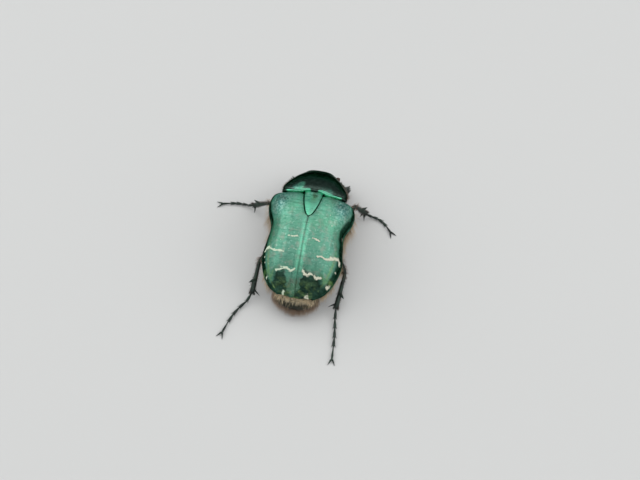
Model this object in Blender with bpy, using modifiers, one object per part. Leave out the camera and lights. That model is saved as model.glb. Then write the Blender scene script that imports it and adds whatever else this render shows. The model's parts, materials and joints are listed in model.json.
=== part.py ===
"""A rose chafer, a broad metallic green beetle, standing on its six legs at its real size.

The head points along -Y, the beetle's own left side is +X, and the floor that it stands on is z = 0.
Every size and place below is in millimetres. The meshes are scaled to metres as they are made.
"""

import math

import bmesh
import bpy
import numpy as np
from mathutils import Matrix, Vector

MM = 0.001

# The clear space that neighbouring pieces keep.
GAP = 0.3

# The wing cases: how far they reach, and how thick the shell is.
BASE_Y = -1.2
APEX_Y = 9.95
SHELL = 0.5

# The outer edge of a wing case, from its shoulder to its tip: share of the length, then x, y and z.
EDGE = [
    (0.00, 3.68, -1.28, 5.25),
    (0.04, 4.48, -1.08, 4.88),
    (0.10, 4.80, -0.42, 4.42),
    (0.18, 4.68, 0.62, 4.25),
    (0.30, 4.08, 2.20, 4.20),
    (0.45, 4.20, 4.00, 3.80),
    (0.60, 4.36, 5.65, 3.50),
    (0.74, 4.04, 7.20, 3.40),
    (0.86, 3.42, 8.50, 3.30),
    (0.94, 2.74, 9.25, 3.20),
    (1.00, 1.95, 9.65, 3.10),
]
# The height of the wing cases along the seam between them, by the same share.
SEAM_Z = [
    (0, 6.85), (0.1, 7.15), (0.25, 7.38), (0.4, 7.42), (0.55, 7.25),
    (0.7, 6.65), (0.82, 5.75), (0.92, 4.65), (1, 3.5),
]
# How square the shoulders of a cross-section are: 1 is an ellipse, less is squarer.
ARCH = 0.82

# Low swellings of a wing case: x, y, half-width along x and y, height.
SWELLINGS = [
    (3.55, 0.35, 0.55, 0.80, 0.16),
    (2.60, 7.85, 0.75, 0.80, 0.20),
    (1.10, 6.80, 0.50, 1.60, -0.16),
    (0.00, 6.80, 0.28, 3.20, 0.08),
]

# The scutellum, the triangle between the wing cases.
SCUTELLUM_Y = -1.65
SCUTELLUM_LENGTH = 3.4
SCUTELLUM_HALF = [(0, 1.02), (0.3, 0.84), (0.6, 0.56), (0.85, 0.30), (0.95, 0.18), (1, 0.06)]

# The prothorax, by the share of its length from the front: half-width, then the heights of its top, side and
# underside.
PROTHORAX_FRONT_Y = -5.95
# The front face leans: its lower edge is this much farther back than its upper edge.
FRONT_LEAN = 0.85
PROTHORAX_HALF = [(0, 1.8), (0.15, 2.2), (0.35, 2.78), (0.6, 3.32), (0.8, 3.6), (1, 3.62)]
PROTHORAX_TOP = [(0, 4.45), (0.2, 5.3), (0.45, 6.12), (0.7, 6.65), (0.88, 6.88), (1, 6.84)]
PROTHORAX_SIDE = [(0, 3.3), (0.3, 3.95), (0.6, 4.65), (0.85, 5.25), (1, 5.45)]
PROTHORAX_UNDER = [(0, 2.7), (0.3, 2.2), (0.6, 2.0), (1, 2.1)]
# Its hind edge, by distance from the middle: a notch that takes the scutellum, then a lobe each side.
HIND_EDGE = [(0, -1.97), (0.9, -1.97), (1.25, -1.9), (1.7, -1.6), (2.4, -1.5), (3.1, -1.58), (3.7, -1.85)]
# The hind edge of its underside, which clears the wedges at the sides.
HIND_UNDER = [(0, -1.42), (1.6, -1.42), (2.8, -1.97), (3.7, -1.97)]

# The hind body under the wing cases: where its two parts meet and end, and the height of its underside.
# A low cone at its front reaches into the hollow hind face of the prothorax.
THORAX_Y = (-1.0, 3.05)
THORAX_CONE_Y = HIND_EDGE[0][1] + GAP
ABDOMEN_Y = (THORAX_Y[1] + GAP, 8.65)
BELLY_Z = [(-1.2, 1.95), (0, 1.6), (1.8, 1.5), (3.4, 1.6), (5.5, 1.65), (7.3, 1.85), (9.1, 2.35)]
# How far the hind body keeps inside the wing cases, beyond their wall and the gap.
INSIDE = [(-1.0, 0.75), (-0.2, 0.4), (0.5, 0.15), (1.5, 0.1), (4.0, 0.1), (6.8, 0.1), (8.65, 0.4)]
STERNITES = 6

# The pygidium, which closes the body behind.
PYGIDIUM_HALF = 2.55
PYGIDIUM_LENGTH = 1.6
PYGIDIUM_Z = 2.25

# The head is tucked under the front edge of the pronotum, and slopes down and forward from the neck.
NECK = Vector((0, PROTHORAX_FRONT_Y - GAP + 0.52, 3.1))
HEAD_SLOPE = math.radians(62)
HEAD_LENGTH = 2.45
HEAD_SUNK = 0.3
HEAD_HALF = [(0, 1.25), (0.3, 1.12), (0.48, 1.0), (0.58, 1.12), (0.8, 1.16), (0.95, 1.12), (1, 1.06)]
HEAD_TOP = [(0, 0.75), (0.3, 0.66), (0.6, 0.42), (0.88, 0.28), (1, 0.42)]
HEAD_UNDER = [(0, 0.85), (0.4, 0.8), (0.7, 0.5), (1, 0.12)]
# The thickness of the feelers and palps along their joints.
SCAPE = [(0, 0.5), (1, 0.62)]
STALK = [(0, 0.5), (1, 0.5)]
PALP = [(0, 0.5), (0.7, 0.5), (1, 0.3)]

# The legs, each as (side, hip, knee, ankle, then the points of the foot).
LEGS = {
    "front_left": (
        (1.15, -3.55, 1.25), (3.45, -4.15, 2.4), (2.95, -6.3, 0.95),
        [(2.75, -6.85, 0.45), (2.1, -7.5, 0.24), (1.0, -7.85, 0.2)],
    ),
    "front_right": (
        (-1.15, -3.55, 1.25), (-3.4, -4.1, 2.4), (-2.95, -6.2, 0.95),
        [(-2.75, -6.75, 0.45), (-2.15, -7.4, 0.24), (-1.1, -7.8, 0.2)],
    ),
    "middle_left": (
        (2.35, -0.15, 1.15), (5.2, -1.5, 2.9), (7.3, -1.95, 0.95),
        [(7.85, -2.15, 0.45), (9.2, -2.3, 0.24), (11.2, -1.9, 0.2)],
    ),
    "middle_right": (
        (-2.35, -0.15, 1.15), (-4.6, -2.85, 3.0), (-5.95, -3.35, 0.85),
        [(-6.5, -3.4, 0.42), (-7.7, -3.2, 0.24), (-9.2, -1.75, 0.2)],
    ),
    "hind_left": (
        (2.4, 2.75, 1.15), (4.8, 5.75, 2.3), (5.0, 9.1, 0.95),
        [(5.3, 9.7, 0.45), (6.35, 11.2, 0.24), (7.35, 14.1, 0.2)],
    ),
    "hind_right": (
        (-2.4, 2.75, 1.15), (-4.85, 5.5, 2.3), (-4.5, 9.15, 0.95),
        [(-4.55, 9.85, 0.45), (-4.85, 11.9, 0.24), (-5.05, 14.9, 0.2)],
    ),
}
# The thickest part of each pair's thigh, across and deep, then its shin at the ankle.
THICKNESS = {
    "front": (1.15, 0.85, 0.95, 0.6),
    "middle": (1.2, 0.85, 0.85, 0.65),
    "hind": (1.6, 0.95, 0.95, 0.7),
}
# The outer teeth of each pair's shin, by their share of its length.
TEETH = {"front": (0.50, 0.72, 0.93), "middle": (0.58,), "hind": (0.60,)}
TOOTH_LENGTH = 0.5
TOOTH_RADIUS = 0.2
# The spurs inside the end of each pair's shin: how many, and their size.
SPURS = {"front": 1, "middle": 2, "hind": 2}
SPUR_LENGTH = 0.8
SPUR_RADIUS = 0.17
# The ends of a foot's five joints, by the share of its length, and its thickness.
FOOT_STOPS = [0, 0.2, 0.38, 0.56, 0.73, 1]
FOOT_THICKNESS = 0.52
CLAW_LENGTH = 0.7

BRONZE_GREEN = (0.02, 0.22, 0.10)
DARK_GREEN = (0.015, 0.07, 0.04)
BLACK = (0.012, 0.012, 0.015)
BROWN = (0.10, 0.05, 0.03)


def value_at(knots, place, column=1):
    """The value at a place of the smooth cubic curve through the knots, in one of their columns."""
    places = np.array([knot[0] for knot in knots], float)
    values = np.array([knot[column] for knot in knots], float)
    slopes = np.gradient(values, places)
    place = min(max(place, places[0]), places[-1])
    i = min(int(np.searchsorted(places, place, side="right")) - 1, len(places) - 2)
    step = places[i + 1] - places[i]
    t = (place - places[i]) / step
    rise = (3 - 2 * t) * t * t
    bend = t * (1 - t) * step * ((1 - t) * slopes[i] - t * slopes[i + 1])
    return values[i] + rise * (values[i + 1] - values[i]) + bend


def material(name, colour, metallic, roughness):
    made = bpy.data.materials.new(name)
    made.use_nodes = True
    shader = made.node_tree.nodes["Principled BSDF"]
    shader.inputs["Base Color"].default_value = (*colour, 1)
    shader.inputs["Metallic"].default_value = metallic
    shader.inputs["Roughness"].default_value = roughness
    return made


def face_out(bm):
    """Turns the faces of a closed mesh so that all point out."""
    bmesh.ops.recalc_face_normals(bm, faces=bm.faces)
    if bm.calc_volume(signed=True) < 0:
        bmesh.ops.reverse_faces(bm, faces=bm.faces)


def object_of(name, bm):
    """A new object with this closed mesh, in the scene's collection."""
    face_out(bm)
    mesh = bpy.data.meshes.new(name)
    bm.to_mesh(mesh)
    bm.free()
    made = bpy.data.objects.new(name, mesh)
    bpy.context.scene.collection.objects.link(made)
    return made


def from_sphere(name, rings, around, place):
    """A UV sphere with its points moved. Each is at a share of the way between the poles and an angle."""
    bm = bmesh.new()
    bmesh.ops.create_uvsphere(bm, u_segments=around, v_segments=rings, radius=1)
    for vert in bm.verts:
        share = math.acos(min(1, max(-1, -vert.co.z))) / math.pi
        vert.co = place(share, math.atan2(vert.co.y, vert.co.x))
    return object_of(name, bm)


def limb(name, start, end, side, width, depth, rings=8, around=10, blunt=0.5, bow=0.0):
    """A round-ended rod. Its width, along side, and its depth are knots by the share of its length."""
    start, end, side = Vector(start), Vector(end), Vector(side)
    along = (end - start).normalized()
    across = (side - side.dot(along) * along).normalized()
    deep = along.cross(across)

    def place(share, angle):
        s = (1 - math.cos(math.pi * share)) / 2
        swell = max(0, math.sin(math.pi * share)) ** blunt / 2
        centre = start.lerp(end, s) + across * bow * 4 * s * (1 - s)
        return (
            centre
            + across * math.cos(angle) * swell * value_at(width, s)
            + deep * math.sin(angle) * swell * value_at(depth, s)
        )

    return from_sphere(name, rings, around, place)


def trunk(name, rings, around, middle, ring):
    """A closed body with flat ends: ring(s, angle) is on its skin, and middle(s) inside it, at a share s."""

    def place(share, angle):
        first = 1 / rings
        s = min(1, max(0, (share - first) / (1 - 2 * first)))
        if share < first / 2 or share > 1 - first / 2:
            return middle(s)
        return ring(s, angle)

    return from_sphere(name, rings, around, place)


def spike(name, root, tip, radius, sides=6):
    """A cone from root to tip."""
    root, tip = Vector(root), Vector(tip)
    bm = bmesh.new()
    length = (tip - root).length
    bmesh.ops.create_cone(bm, cap_ends=True, segments=sides, radius1=radius, radius2=0.02, depth=length)
    turn = Vector((0, 0, 1)).rotation_difference(tip - root).to_matrix().to_4x4()
    bm.transform(Matrix.Translation(root.lerp(tip, 0.5)) @ turn)
    return object_of(name, bm)


def trim(made, point, outward):
    """Cuts off what lies beyond the plane through point, on the side that outward points to, and caps it."""
    bm = bmesh.new()
    bm.from_mesh(made.data)
    everything = bm.verts[:] + bm.edges[:] + bm.faces[:]
    bmesh.ops.bisect_plane(
        bm, geom=everything, plane_co=Vector(point), plane_no=Vector(outward), clear_outer=True,
    )
    bmesh.ops.holes_fill(bm, edges=[edge for edge in bm.edges if edge.is_boundary])
    face_out(bm)
    bm.to_mesh(made.data)
    bm.free()
    return made


def keep_largest(made):
    """Drops every closed surface of a mesh but its largest."""
    bm = bmesh.new()
    bm.from_mesh(made.data)
    left = set(bm.faces)
    shells = []
    while left:
        shell = []
        reached = [left.pop()]
        while reached:
            face = reached.pop()
            shell.append(face)
            near = {other for edge in face.edges for other in edge.link_faces} & left
            left -= near
            reached.extend(near)
        shells.append(shell)
    shells.sort(key=lambda shell: sum(face.calc_area() for face in shell))
    for shell in shells[:-1]:
        bmesh.ops.delete(bm, geom=shell, context="FACES")
    bm.to_mesh(made.data)
    bm.free()


def solid(made):
    """Turns what a piece's modifiers make of it into its own mesh."""
    bpy.context.view_layer.update()
    graph = bpy.context.evaluated_depsgraph_get()
    shaped = bpy.data.meshes.new_from_object(made.evaluated_get(graph))
    made.modifiers.clear()
    made.data = shaped
    return made


def joined(name, pieces):
    """The pieces fused into the first by one Boolean union, named name."""
    whole, *others = pieces
    whole.name = name
    joining = bpy.data.collections.new(f"{name}_pieces")
    bpy.context.scene.collection.children.link(joining)
    for piece in others:
        bpy.context.scene.collection.objects.unlink(piece)
        joining.objects.link(piece)
    union = whole.modifiers.new("union", "BOOLEAN")
    union.operation = "UNION"
    union.operand_type = "COLLECTION"
    union.collection = joining
    union.solver = "MANIFOLD"
    solid(whole)
    for piece in others:
        bpy.data.objects.remove(piece)
    bpy.data.collections.remove(joining)
    keep_largest(whole)
    return whole


def finish(made, slot, root=(0, 0, 0)):
    """Scales a piece to metres, with its origin at its root and its material, and stands it in the model."""
    root = Vector(root)
    made.data.transform(Matrix.Scale(MM, 4) @ Matrix.Translation(-root))
    made.location = root * MM
    made.data.materials.clear()
    made.data.materials.append(slot)
    made.data.shade_smooth()
    made.data.set_sharp_from_angle(angle=math.radians(40))
    bpy.context.scene.collection.objects.unlink(made)
    model.objects.link(made)
    made.parent = stand
    return made


def rise_of_swellings(x, y):
    """The height of the low swellings at a place on a wing case, each a bell curve along x and y."""
    return sum(
        height * math.exp(-(((x - mid_x) / wide) ** 2) - ((y - mid_y) / long) ** 2)
        for mid_x, mid_y, wide, long, height in SWELLINGS
    )


def scutellum_half(y):
    return value_at(SCUTELLUM_HALF, (y - SCUTELLUM_Y) / SCUTELLUM_LENGTH)


def elytron_point(along, across):
    """A point of a wing case's skin, from base (0) to tip (1) and from the seam (0) to the outer edge (1).

    Each cross-section is a quarter of a superellipse between the seam and the edge.
    """
    seam_y = BASE_Y + (APEX_Y - BASE_Y) * along
    past_tip = max(0, seam_y - SCUTELLUM_Y - SCUTELLUM_LENGTH)
    seam_x = max(scutellum_half(seam_y) + GAP - 0.6 * past_tip, GAP / 2)
    edge_x, edge_y, edge_z = (value_at(EDGE, along, column) for column in (1, 2, 3))
    turn = across * math.pi / 2
    out = math.sin(turn) ** ARCH
    up = math.cos(turn) ** ARCH
    x = seam_x + (edge_x - seam_x) * out
    y = seam_y + (edge_y - seam_y) * out
    z = edge_z + (value_at(SEAM_Z, along) - edge_z) * up + rise_of_swellings(x, y) * up
    return x, y, z


def make_elytron(side, slot, rows=26, columns=12):
    """One wing case: an open curved sheet with a wall."""
    bm = bmesh.new()
    bmesh.ops.create_grid(bm, x_segments=columns, y_segments=rows, size=0.5)
    for vert in bm.verts:
        x, y, z = elytron_point(min(1, max(0, vert.co.y + 0.5)), min(1, max(0, vert.co.x + 0.5)))
        vert.co = (x, y, z)
    if side < 0:
        bmesh.ops.scale(bm, vec=(-1, 1, 1), verts=bm.verts)
        bmesh.ops.reverse_faces(bm, faces=bm.faces)
    mesh = bpy.data.meshes.new("elytron")
    bm.to_mesh(mesh)
    bm.free()
    made = bpy.data.objects.new("elytron_left" if side > 0 else "elytron_right", mesh)
    bpy.context.scene.collection.objects.link(made)
    wall = made.modifiers.new("wall", "SOLIDIFY")
    wall.thickness = SHELL
    wall.offset = -1
    wall.use_even_offset = True
    # The wall leans over the seam, so it is cut back to half of the gap there.
    trim(solid(made), (side * GAP / 2, 0, 0), (-side, 0, 0))
    return finish(made, slot)


def make_mesepimeron(side, slot):
    """The mesepimeron: the small wedge that shows between the pronotum's corner and a shoulder."""
    wedge = limb(
        "mesepimeron", (side * 3.0, -1.57, 4.4), (side * 4.15, -1.57, 4.3), (0, 0, 1),
        [(0, 1.2), (1, 1.0)], [(0, 0.5), (1, 0.5)], rings=8, around=12,
    )
    wedge.name = "mesepimeron_left" if side > 0 else "mesepimeron_right"
    return finish(wedge, slot, (side * 3.6, -1.4, 4.35))


def make_scutellum(slot, rows=8, columns=6):
    """The scutellum: a long triangle with a round tip, its surface level with the wing cases."""
    bm = bmesh.new()
    bmesh.ops.create_grid(bm, x_segments=columns, y_segments=rows, size=0.5)
    for vert in bm.verts:
        share = min(1, max(0, vert.co.y + 0.5))
        y = SCUTELLUM_Y + SCUTELLUM_LENGTH * share
        x = vert.co.x * 2 * value_at(SCUTELLUM_HALF, share)
        z = value_at(SEAM_Z, (y - BASE_Y) / (APEX_Y - BASE_Y)) - 0.08 * x * x
        vert.co = (x, y, z)
    mesh = bpy.data.meshes.new("scutellum")
    bm.to_mesh(mesh)
    bm.free()
    made = bpy.data.objects.new("scutellum", mesh)
    bpy.context.scene.collection.objects.link(made)
    finish(made, slot)
    wall = made.modifiers.new("wall", "SOLIDIFY")
    wall.thickness = SHELL * MM
    wall.offset = -1
    return made


def section(angle, half, under_half, top, side, under):
    """x and z on a cross-section: a superellipse above the side height, and a plain half ellipse below it."""
    cos, sin = math.cos(angle), math.sin(angle)
    if sin < -1e-6:
        return cos * under_half, side + (side - under) * sin
    out = math.copysign(abs(cos) ** ARCH, cos)
    return out * half, side + (top - side) * max(0, sin) ** ARCH


def hip(point, inner, knee, width, hind_y):
    """A hip from inside the body to a leg's first joint, cut flat there and at its hind side."""
    point, inner = Vector(point), Vector(inner)
    way = (Vector(knee) - point).normalized()
    widths = [(0, width * 1.4), (1, width)]
    made = limb("hip", inner, point + way * 0.3, (0, 1, 0), widths, [(0, 1.6), (1, 0.95)])
    trim(made, point - way * (GAP / 2), way)
    return trim(made, (0, hind_y, 0), (0, 1, 0))


def make_prothorax(slot):
    """The prothorax: the pronotum above, whose hind edge is notched for the scutellum, and the breast."""

    def heights(s):
        return tuple(value_at(knots, s) for knots in (PROTHORAX_TOP, PROTHORAX_SIDE, PROTHORAX_UNDER))

    def ring(s, angle):
        half = value_at(PROTHORAX_HALF, s)
        top, side, under = heights(s)
        x, z = section(angle, half, half * 0.93, top, side, under)
        front_y = PROTHORAX_FRONT_Y - 0.05 * x * x + FRONT_LEAN * (top - z) / (top - under)
        hind_y = value_at(HIND_EDGE if math.sin(angle) > 0 else HIND_UNDER, abs(x))
        return Vector((x, front_y + (hind_y - front_y) * s, z))

    def middle(s):
        top, _, under = heights(s)
        front_y = PROTHORAX_FRONT_Y + FRONT_LEAN / 2
        return Vector((0, front_y + (HIND_EDGE[0][1] - front_y) * s, (top + under) / 2))

    dome = trunk("prothorax", 15, 26, middle, ring)
    hips = []
    for name, (point, knee, _, _) in LEGS.items():
        if name.startswith("front"):
            hips.append(hip(point, (point[0] * 0.5, -3.1, 2.6), knee, 1.0, -2.2))
    return finish(joined("prothorax", [dome, *hips]), slot)


def hind_body_ring(y, angle):
    """The skin of the hind body: inside the wing cases above their edge, and level with them below it."""
    share = (y - BASE_Y) / (APEX_Y - BASE_Y)
    edge_by_y = [(knot[2], knot[1]) for knot in EDGE]
    half = value_at(edge_by_y, y)
    inside = SHELL + GAP + value_at(INSIDE, y)
    top = value_at(SEAM_Z, share) - inside
    side = value_at(EDGE, share, 3) - GAP
    under = value_at(BELLY_Z, y)
    return section(angle, half - inside, half - GAP, top, side, under)


def make_thorax(slot):
    """The middle and hind thorax: its breast, the hips of four legs, and the knob between the middle hips."""
    first, last = THORAX_Y

    def ring(s, angle):
        y = first + (last - first) * s
        x, z = hind_body_ring(y, angle)
        return Vector((x, y, z))

    core = trunk("thorax", 9, 26, lambda s: Vector((0, THORAX_CONE_Y if s == 0 else last, 4)), ring)
    pieces = [core]
    for name, (point, knee, _, _) in LEGS.items():
        if name.startswith("middle"):
            pieces.append(hip(point, (point[0] * 0.45, -0.05, 2.1), knee, 1.1, last))
        if name.startswith("hind"):
            pieces.append(hip(point, (point[0] * 0.45, 2.2, 2.2), knee, 1.1, last - 0.02))
    knob_widths = [(0, 0.95), (1, 0.6)]
    pieces.append(limb("knob", (0, -1.1, 2.1), (0, 0.7, 1.7), (1, 0, 0), knob_widths, [(0, 0.9), (1, 0.9)]))
    return finish(joined("thorax", pieces), slot)


def make_abdomen(slot):
    """The abdomen: rounded plates that step up to one another along the underside."""
    first, last = ABDOMEN_Y

    def ring(s, angle):
        y = first + (last - first) * s
        x, z = hind_body_ring(y, angle)
        step = (s * STERNITES) % 1
        if math.sin(angle) < 0.05:
            z += 0.12 * step * abs(math.sin(angle))
        return Vector((x, y, z))

    def middle(s):
        return Vector((0, first + (last - first) * s, 3.0))

    return finish(trunk("abdomen", 3 * STERNITES + 2, 26, middle, ring), slot)


def make_pygidium(slot):
    """The pygidium: the domed shield that closes the body below the tips of the wing cases."""
    front = ABDOMEN_Y[1] + GAP

    def place(share, angle):
        # The sphere's poles are the middle of the shield and a point on the flat that meets the abdomen.
        if share < 0.5:
            return Vector((0, front, PYGIDIUM_Z)).lerp(place(0.5, angle), share * 2)
        out = max(0, math.sin(math.pi * share)) ** 0.8
        back = PYGIDIUM_LENGTH * max(0, -math.cos(math.pi * share)) ** 0.9
        x, z = section(angle, PYGIDIUM_HALF * out, PYGIDIUM_HALF * out, 0.87 * out, 0, -0.8 * out)
        return Vector((x, front + back, PYGIDIUM_Z + z - 0.3 * back))

    return finish(from_sphere("pygidium", 14, 24, place), slot)


def head_place(s, across, up):
    """A place on the head: the share of its length, then distances across and up from its axis."""
    forward = Vector((0, -math.cos(HEAD_SLOPE), -math.sin(HEAD_SLOPE)))
    upward = Vector((0, -math.sin(HEAD_SLOPE), math.cos(HEAD_SLOPE)))
    return NECK + forward * (HEAD_LENGTH * s) + Vector((across, 0, 0)) + upward * up


def make_head(slot):
    """The head: a flat box that ends in the square, upturned edge of the clypeus."""
    sunk = HEAD_SUNK / HEAD_LENGTH

    def ring(s, angle):
        cos, sin = math.cos(angle), math.sin(angle)
        out = math.copysign(abs(cos) ** 0.55, cos) * value_at(HEAD_HALF, s)
        up = math.copysign(abs(sin) ** 0.55, sin) * value_at(HEAD_TOP if sin > 0 else HEAD_UNDER, s)
        return head_place(s * (1 + sunk) - sunk, out, up)

    head = trunk("head", 13, 20, lambda s: head_place(s * (1 + sunk) - sunk, 0, 0.1), ring)
    # It is cut level with the leaning front of the prothorax.
    trim(head, NECK, (0, PROTHORAX_TOP[0][1] - PROTHORAX_UNDER[0][1], FRONT_LEAN))
    return finish(head, slot)


def make_eye(side, slot):
    """An eye: a dome that stands out from the side of the head."""
    middle = head_place(0.27, side * (value_at(HEAD_HALF, 0.3) + GAP + 0.05), 0.05)
    out = Vector((side * 0.42, 0, 0))
    widths, depths = [(0, 1.0), (1, 1.0)], [(0, 1.1), (1, 1.1)]
    eye = limb("eye", middle - out, middle + out, (0, 1, 0), widths, depths, around=12)
    trim(eye, middle, (-side, 0, 0))
    eye.name = "eye_left" if side > 0 else "eye_right"
    return finish(eye, slot, middle)


def make_antenna(side, slot):
    """A feeler: a stout first joint, a short stalk, and a club of three leaves."""
    root = head_place(0.7, side * (value_at(HEAD_HALF, 0.7) + GAP), -0.25)
    bend = root + Vector((side * 0.5, -0.15, 0.2))
    stalk = bend + Vector((side * 0.1, -0.4, -0.05))
    pieces = [
        limb("scape", root, bend, (0, 0, 1), SCAPE, SCAPE, rings=6, around=8),
        limb("stalk", bend + Vector((0, 0.2, 0)), stalk, (0, 0, 1), STALK, STALK, rings=6, around=8),
    ]
    for turn in (-0.45, 0.0, 0.45):
        tip = stalk + Vector((side * 0.1, -0.72 + 0.2 * turn, -0.05 + 0.75 * turn))
        pieces.append(limb(
            "leaf", stalk + Vector((0, 0.2, 0)), tip, (side, 0.5, 0),
            [(0, 0.45), (0.6, 0.6), (1, 0.5)], [(0, 0.5), (1, 0.5)], rings=6, around=8,
        ))
    name = "antenna_left" if side > 0 else "antenna_right"
    return finish(joined(name, pieces), slot, root)


def make_palp(side, slot):
    """A short feeler of the mouth, below the head."""
    root = head_place(0.60, side * 0.5, -value_at(HEAD_UNDER, 0.65) - GAP - 0.4)
    tip = root + Vector((side * 0.35, -0.85, -0.35))
    palp = limb("palp", root, tip, (1, 0, 0), PALP, PALP, rings=6, around=8)
    palp.name = "palp_left" if side > 0 else "palp_right"
    return finish(palp, slot, root)


def make_leg(name, hip, knee, ankle, foot, slot):
    """A leg's three nodes, cut apart at the knee and the ankle: thigh, toothed shin and clawed foot."""
    pair = name.split("_")[0]
    side = 1 if hip[0] > 0 else -1
    hip, knee, ankle = Vector(hip), Vector(knee), Vector(ankle)
    foot = [Vector(point) for point in foot]
    thigh_way = (knee - hip).normalized()
    shin_way = (ankle - knee).normalized()
    foot_way = (foot[0] - ankle).normalized()
    knee_plane = (thigh_way + shin_way).normalized()
    ankle_plane = (shin_way + foot_way).normalized()
    wide, deep, shin_wide, shin_deep = THICKNESS[pair]

    # A leg is widest in the plane that it bends in.
    hinge = thigh_way.cross(shin_way).normalized()
    thigh_side = hinge.cross(thigh_way)
    shin_side = hinge.cross(shin_way)
    if shin_side.dot(thigh_way) < 0:
        shin_side = -shin_side

    thigh = limb(
        f"femur_{name}", hip + thigh_way * 0.1, knee + thigh_way * 0.25, thigh_side,
        [(0, 0.7), (0.45, wide), (0.8, wide * 0.72), (1, 0.6)], [(0, 0.7), (0.45, deep), (1, 0.6)],
    )
    trim(thigh, knee - knee_plane * (GAP / 2), knee_plane)

    shin = [limb(
        f"tibia_{name}", knee - shin_way * 0.3, ankle + shin_way * 0.2, shin_side,
        [(0, 0.6), (0.25, 0.62), (1, shin_wide)], [(0, 0.55), (1, shin_deep)], blunt=0.35,
    )]
    for share in TEETH[pair]:
        root = knee.lerp(ankle, share) + shin_side * 0.15
        tip = root + shin_side * (TOOTH_LENGTH + 0.1) + shin_way * (TOOTH_LENGTH * 0.75)
        shin.append(spike("tooth", root, tip, TOOTH_RADIUS))
    shin = joined(f"tibia_{name}", shin)
    trim(shin, knee + knee_plane * (GAP / 2), -knee_plane)
    trim(shin, ankle - ankle_plane * (GAP / 2), ankle_plane)
    spurs = []
    for i in range(SPURS[pair]):
        spread = hinge * (i - (SPURS[pair] - 1) / 2)
        root = ankle - shin_way * 0.4 - shin_side * 0.15 + spread * 0.3
        way = (shin_way * 0.45 - shin_side * 0.8 + spread * 0.7).normalized()
        spurs.append(spike("spur", root, root + way * SPUR_LENGTH, SPUR_RADIUS))
    shin = joined(f"tibia_{name}", [shin, *spurs])

    # The foot's joints lie on a smooth curve from the ankle through its points.
    route = [ankle - foot_way * 0.15, *foot]
    lengths = np.cumsum([0] + [(b - a).length for a, b in zip(route, route[1:])])
    knots = [(length / lengths[-1], *point) for length, point in zip(lengths, route)]
    places = [Vector([value_at(knots, share, column) for column in (1, 2, 3)]) for share in FOOT_STOPS]
    thickness = [(0, FOOT_THICKNESS * 0.75), (0.7, FOOT_THICKNESS), (1, FOOT_THICKNESS * 0.9)]
    pieces = []
    for start, end in zip(places, places[1:]):
        over = (end - start).normalized() * 0.12
        joint = limb(
            "joint", start - over, end + over, (0, 0, 1), thickness, thickness, rings=6, around=8, blunt=0.4,
        )
        pieces.append(joint)
    last_way = (places[-1] - places[-2]).normalized()
    spread = last_way.cross(Vector((0, 0, 1))).normalized()
    claw_thickness = [(0, 0.4), (0.5, 0.3), (1, 0.1)]
    for turn in (1, -1):
        root = places[-1] - last_way * 0.1 + spread * turn * 0.05
        tip = root + (last_way + spread * turn * 0.75).normalized() * CLAW_LENGTH
        tip.z = 0.1
        claw = limb(
            "claw", root, tip, spread, claw_thickness, claw_thickness, rings=6, around=6, bow=0.08 * turn,
        )
        pieces.append(claw)
    tarsus = joined(f"tarsus_{name}", pieces)
    trim(tarsus, ankle + ankle_plane * (GAP / 2), -ankle_plane)
    # What reaches below the floor is cut off, which leaves a small flat under each joint.
    trim(tarsus, (0, 0, 0), (0, 0, -1))

    finish(thigh, slot, hip)
    finish(shin, slot, knee)
    finish(tarsus, slot, ankle)


def stand_on_origin():
    """Moves the whole model so that its box is centred over the origin."""
    bpy.context.view_layer.update()
    graph = bpy.context.evaluated_depsgraph_get()
    corners = []
    for made in model.objects:
        if made.type == "MESH":
            seen = made.evaluated_get(graph)
            mesh = seen.to_mesh()
            corners += [seen.matrix_world @ vert.co for vert in mesh.vertices]
            seen.to_mesh_clear()
    corners = np.array(corners)
    middle = (corners.min(axis=0) + corners.max(axis=0)) / 2
    stand.location = (-middle[0], -middle[1], 0)


for old in list(bpy.data.objects):
    bpy.data.objects.remove(old)

model = bpy.data.collections.new("rose_chafer")
bpy.context.scene.collection.children.link(model)
stand = bpy.data.objects.new("rose_chafer", None)
model.objects.link(stand)

shell_green = material("shell", BRONZE_GREEN, 1.0, 0.3)
under_green = material("underside", DARK_GREEN, 0.8, 0.4)
eye_black = material("eye", BLACK, 0.0, 0.2)
feeler_brown = material("feeler", BROWN, 0.3, 0.45)

make_prothorax(shell_green)
make_scutellum(shell_green)
make_thorax(under_green)
make_abdomen(under_green)
make_pygidium(shell_green)
make_head(shell_green)
for side in (1, -1):
    make_elytron(side, shell_green)
    make_mesepimeron(side, under_green)
    make_eye(side, eye_black)
    make_antenna(side, feeler_brown)
    make_palp(side, feeler_brown)
for leg_name, leg_points in LEGS.items():
    make_leg(leg_name, *leg_points, under_green)
stand_on_origin()
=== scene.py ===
# %% [markdown]
# # A rose chafer, life size
# This lesson dresses a plain solid model of a rose chafer, a broad metallic green beetle, so that it looks
# alive. The solids say where everything is. Each visible piece is then made again here, finer, on the same
# measures: hard shell plates, eyes, jointed legs and golden hair.
#
# Shapes are worked out with numpy, as whole arrays. Each one is a surface that depends on two numbers, such
# as how far along the body a point lies and how far round it. That keeps every shape short to write and
# easy to change.

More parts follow.
